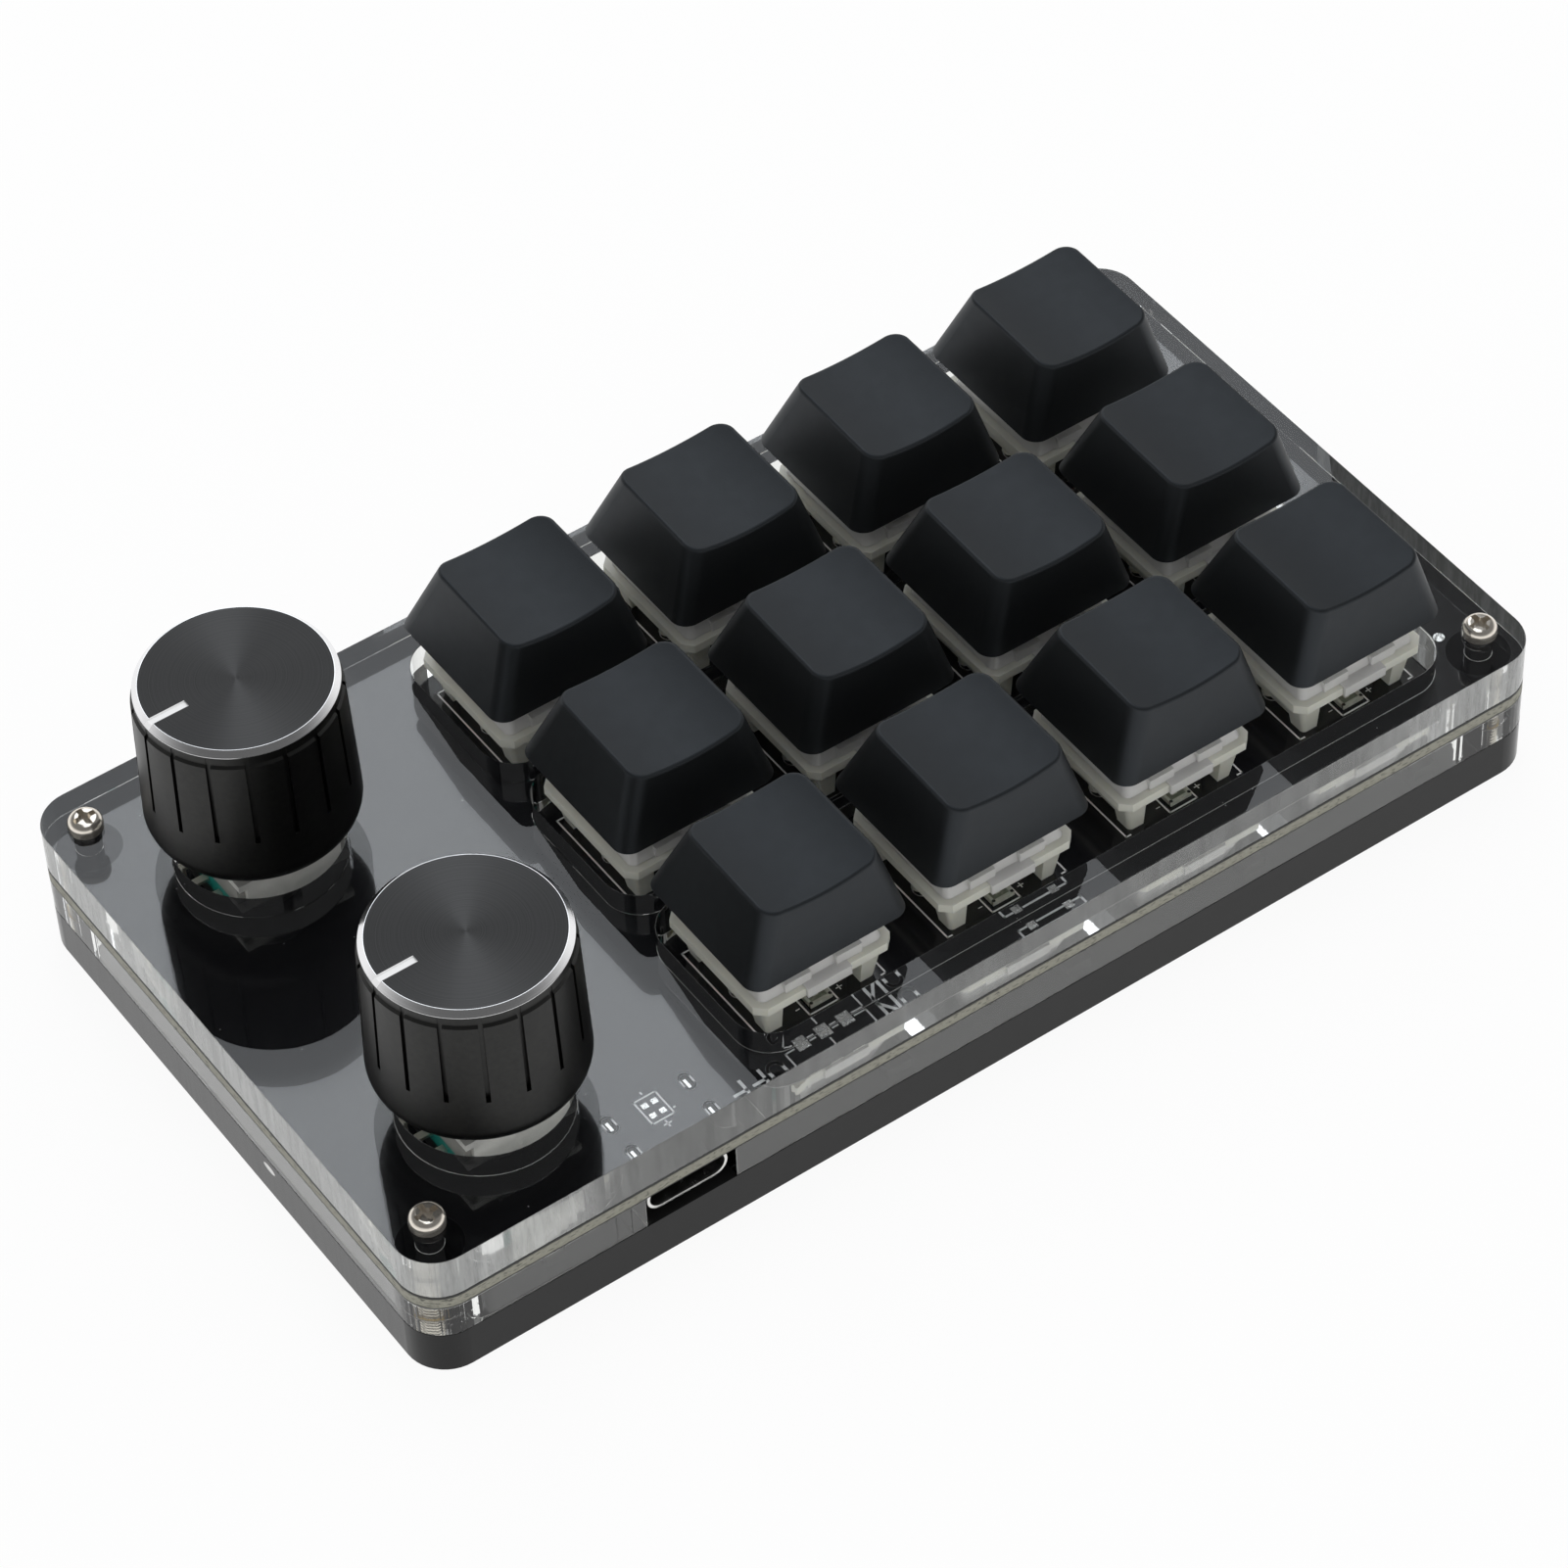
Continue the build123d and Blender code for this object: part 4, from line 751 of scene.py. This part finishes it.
def print_resistor(work):
    """Broken line at the place for a resistor, with a leg at each end."""
    for left, right in RESISTOR_DASHES:
        stroke(work, [(left, RESISTOR_LOW), (right, RESISTOR_LOW)], BOLD_WIDTH)
    for x in (RESISTOR_DASHES[0][0], RESISTOR_DASHES[-1][1]):
        stroke(work, [(x, RESISTOR_LOW), (x, RESISTOR_HIGH)], BOLD_WIDTH)


def print_colour_light(work):
    """Frame at the place for a colour light, with its plus, a tick and a dot."""
    stroke(work, [(COLOUR_LEFT, COLOUR_LOW), (COLOUR_RIGHT, COLOUR_LOW),
                  (COLOUR_RIGHT, COLOUR_HIGH), (COLOUR_LEFT, COLOUR_HIGH)], closed=True)
    print_plus(work, COLOUR_X, COLOUR_PLUS_Y, COLOUR_PLUS_HALF, OUTLINE_WIDTH)
    stroke(work, [(COLOUR_X, COLOUR_TICK_LOW), (COLOUR_X, COLOUR_TICK_HIGH)])
    stroke(work, [(COLOUR_DOT_LEFT, COLOUR_DOT_Y), (COLOUR_DOT_RIGHT, COLOUR_DOT_Y)], COLOUR_DOT_WIDTH)


def board_print():
    """All of the pale print: switches, slide switch, resistor, colour light and socket tabs."""
    work = bmesh.new()
    for centre in KEY_CENTRES.values():
        print_switch(work, centre.x / MM, centre.y / MM)
    print_slide_switch(work)
    print_resistor(work)
    print_colour_light(work)
    for x in TABS_X:
        for y in TABS_Y:
            stroke(work, ring_points(x, y, *TAB_SIZE), closed=True)
    add_piece("board_print", work, moulded_plastic("board_ink", (0.92, 0.92, 0.91), 0.5, grain_mm=0.2))


def board_pads():
    """Tinned pads of the parts that aren't fitted, and the sight dot."""
    work = bmesh.new()
    pads = [(x, SLIDE_PADS_Y, *SLIDE_PAD_SIZE) for x in SLIDE_PADS_X]
    pads += [(x, RESISTOR_PADS_Y, *RESISTOR_PAD_SIZE) for x in RESISTOR_PADS_X]
    pads += [(x, y, *COLOUR_PAD_SIZE) for x in COLOUR_PADS_X for y in COLOUR_PADS_Y]
    for x, y, length, width in pads:
        reach = (length - width) / 2
        stroke(work, [(x - reach, y), (x + reach, y)], width, lift=PAD_LIFT)
    work.faces.new([work.verts.new((x * MM, y * MM, BOARD_HIGH[2] + PAD_LIFT))
                    for x, y in ring_points(*SIGHT_DOT, *SIGHT_DOT_SIZE)])
    tin = metal("pad_tin", (0.92, 0.92, 0.90), 0.25, brushed_mm=0.5, depth=0.16, stretch=(1, 1, 1))
    add_piece("board_pads", work, tin)


# ---------------------------------------------------------------- floor, light and camera

def seen_directly(tree):
    """One for rays from the camera and for what metal and glass show, zero for light that falls on things."""
    path = tree.nodes.new("ShaderNodeLightPath")
    value = path.outputs["Is Camera Ray"]
    for name in ("Is Glossy Ray", "Is Transmission Ray"):
        either = tree.nodes.new("ShaderNodeMath")
        either.operation = "MAXIMUM"
        tree.links.new(value, either.inputs[0])
        tree.links.new(path.outputs[name], either.inputs[1])
        value = either.outputs[0]
    return value


def add_floor():
    """Pale floor a hair under the keypad, so that no two faces share a plane."""
    work = bmesh.new()
    bmesh.ops.create_grid(work, x_segments=1, y_segments=1, size=FLOOR_REACH)
    mesh = bpy.data.meshes.new("floor")
    work.to_mesh(mesh)
    work.free()
    look = Surface("floor_paper", Base_Color=FLOOR_COLOUR, Roughness=0.9)
    seen = seen_directly(look.tree)
    glow = look.node("Emission", Color=WHITE, Strength=1.0)
    share = look.maths("MULTIPLY", seen, FLOOR_WHITE_SHARE)
    mixed = look.node("MixShader")
    look.feed(mixed.inputs[0], share)
    look.feed(mixed.inputs[1], look.shader.outputs[0])
    look.feed(mixed.inputs[2], glow.outputs[0])
    look.feed(look.tree.nodes["Material Output"].inputs["Surface"], mixed.outputs[0])
    mesh.materials.append(look.material)
    floor = bpy.data.objects.new("floor", mesh)
    floor.location.z = -FLOOR_DROP
    bpy.context.collection.objects.link(floor)


def add_softbox():
    """Long area light over the keypad, facing it."""
    light = bpy.data.lights.new("overhead_softbox", "AREA")
    light.color = SOFTBOX_COLOUR
    light.shape = "RECTANGLE"
    light.size, light.size_y = SOFTBOX_SIZE
    light.energy = SOFTBOX_POWER
    lamp = bpy.data.objects.new("overhead_softbox", light)
    place = SOFTBOX_TARGET + SOFTBOX_DIRECTION.normalized() * SOFTBOX_DISTANCE
    lamp.location = place
    lamp.rotation_euler = (SOFTBOX_TARGET - place).to_track_quat("-Z", "Y").to_euler()
    bpy.context.collection.objects.link(lamp)


def add_world():
    """White surroundings with a darker ceiling, at full strength for the camera and for reflections."""
    world = bpy.data.worlds.new("studio")
    bpy.context.scene.world = world
    world.use_nodes = True
    tree = world.node_tree
    background = tree.nodes["Background"]
    background.inputs["Color"].default_value = (*WHITE, 1.0)
    direction = tree.nodes.new("ShaderNodeSeparateXYZ")
    tree.links.new(tree.nodes.new("ShaderNodeTexCoord").outputs["Generated"], direction.inputs[0])
    ceiling = tree.nodes.new("ShaderNodeMapRange")
    ceiling.interpolation_type = "SMOOTHSTEP"
    for key, number in (("From Min", CEILING_START), ("From Max", CEILING_FULL), ("To Min", 1.0),
                        ("To Max", CEILING_LEVEL)):
        ceiling.inputs[key].default_value = number
    tree.links.new(direction.outputs[2], ceiling.inputs["Value"])
    level = tree.nodes.new("ShaderNodeMapRange")
    level.inputs["To Min"].default_value = DIFFUSE_WORLD
    tree.links.new(ceiling.outputs["Result"], level.inputs["To Max"])
    tree.links.new(seen_directly(tree), level.inputs["Value"])
    tree.links.new(level.outputs["Result"], background.inputs["Strength"])


def add_camera():
    """The camera, with its axes as the rows of its solved rotation."""
    data = bpy.data.cameras.new("camera")
    data.lens = CAMERA_LENS
    data.sensor_width = CAMERA_SENSOR
    data.clip_start = CAMERA_NEAR
    data.clip_end = CAMERA_FAR
    camera = bpy.data.objects.new("camera", data)
    turn = Matrix((CAMERA_RIGHT, -CAMERA_DOWN, -CAMERA_AHEAD)).transposed().to_4x4()
    camera.matrix_world = Matrix.Translation(CAMERA_PLACE) @ turn
    bpy.context.collection.objects.link(camera)
    bpy.context.scene.camera = camera


def main():
    """Dresses the frame and sets the stage."""
    paint_nodes()
    clear_pieces()
    coil_springs()
    board_print()
    board_pads()
    add_floor()
    add_softbox()
    add_world()
    add_camera()
    bpy.context.scene.view_settings.view_transform = "Standard"


main()
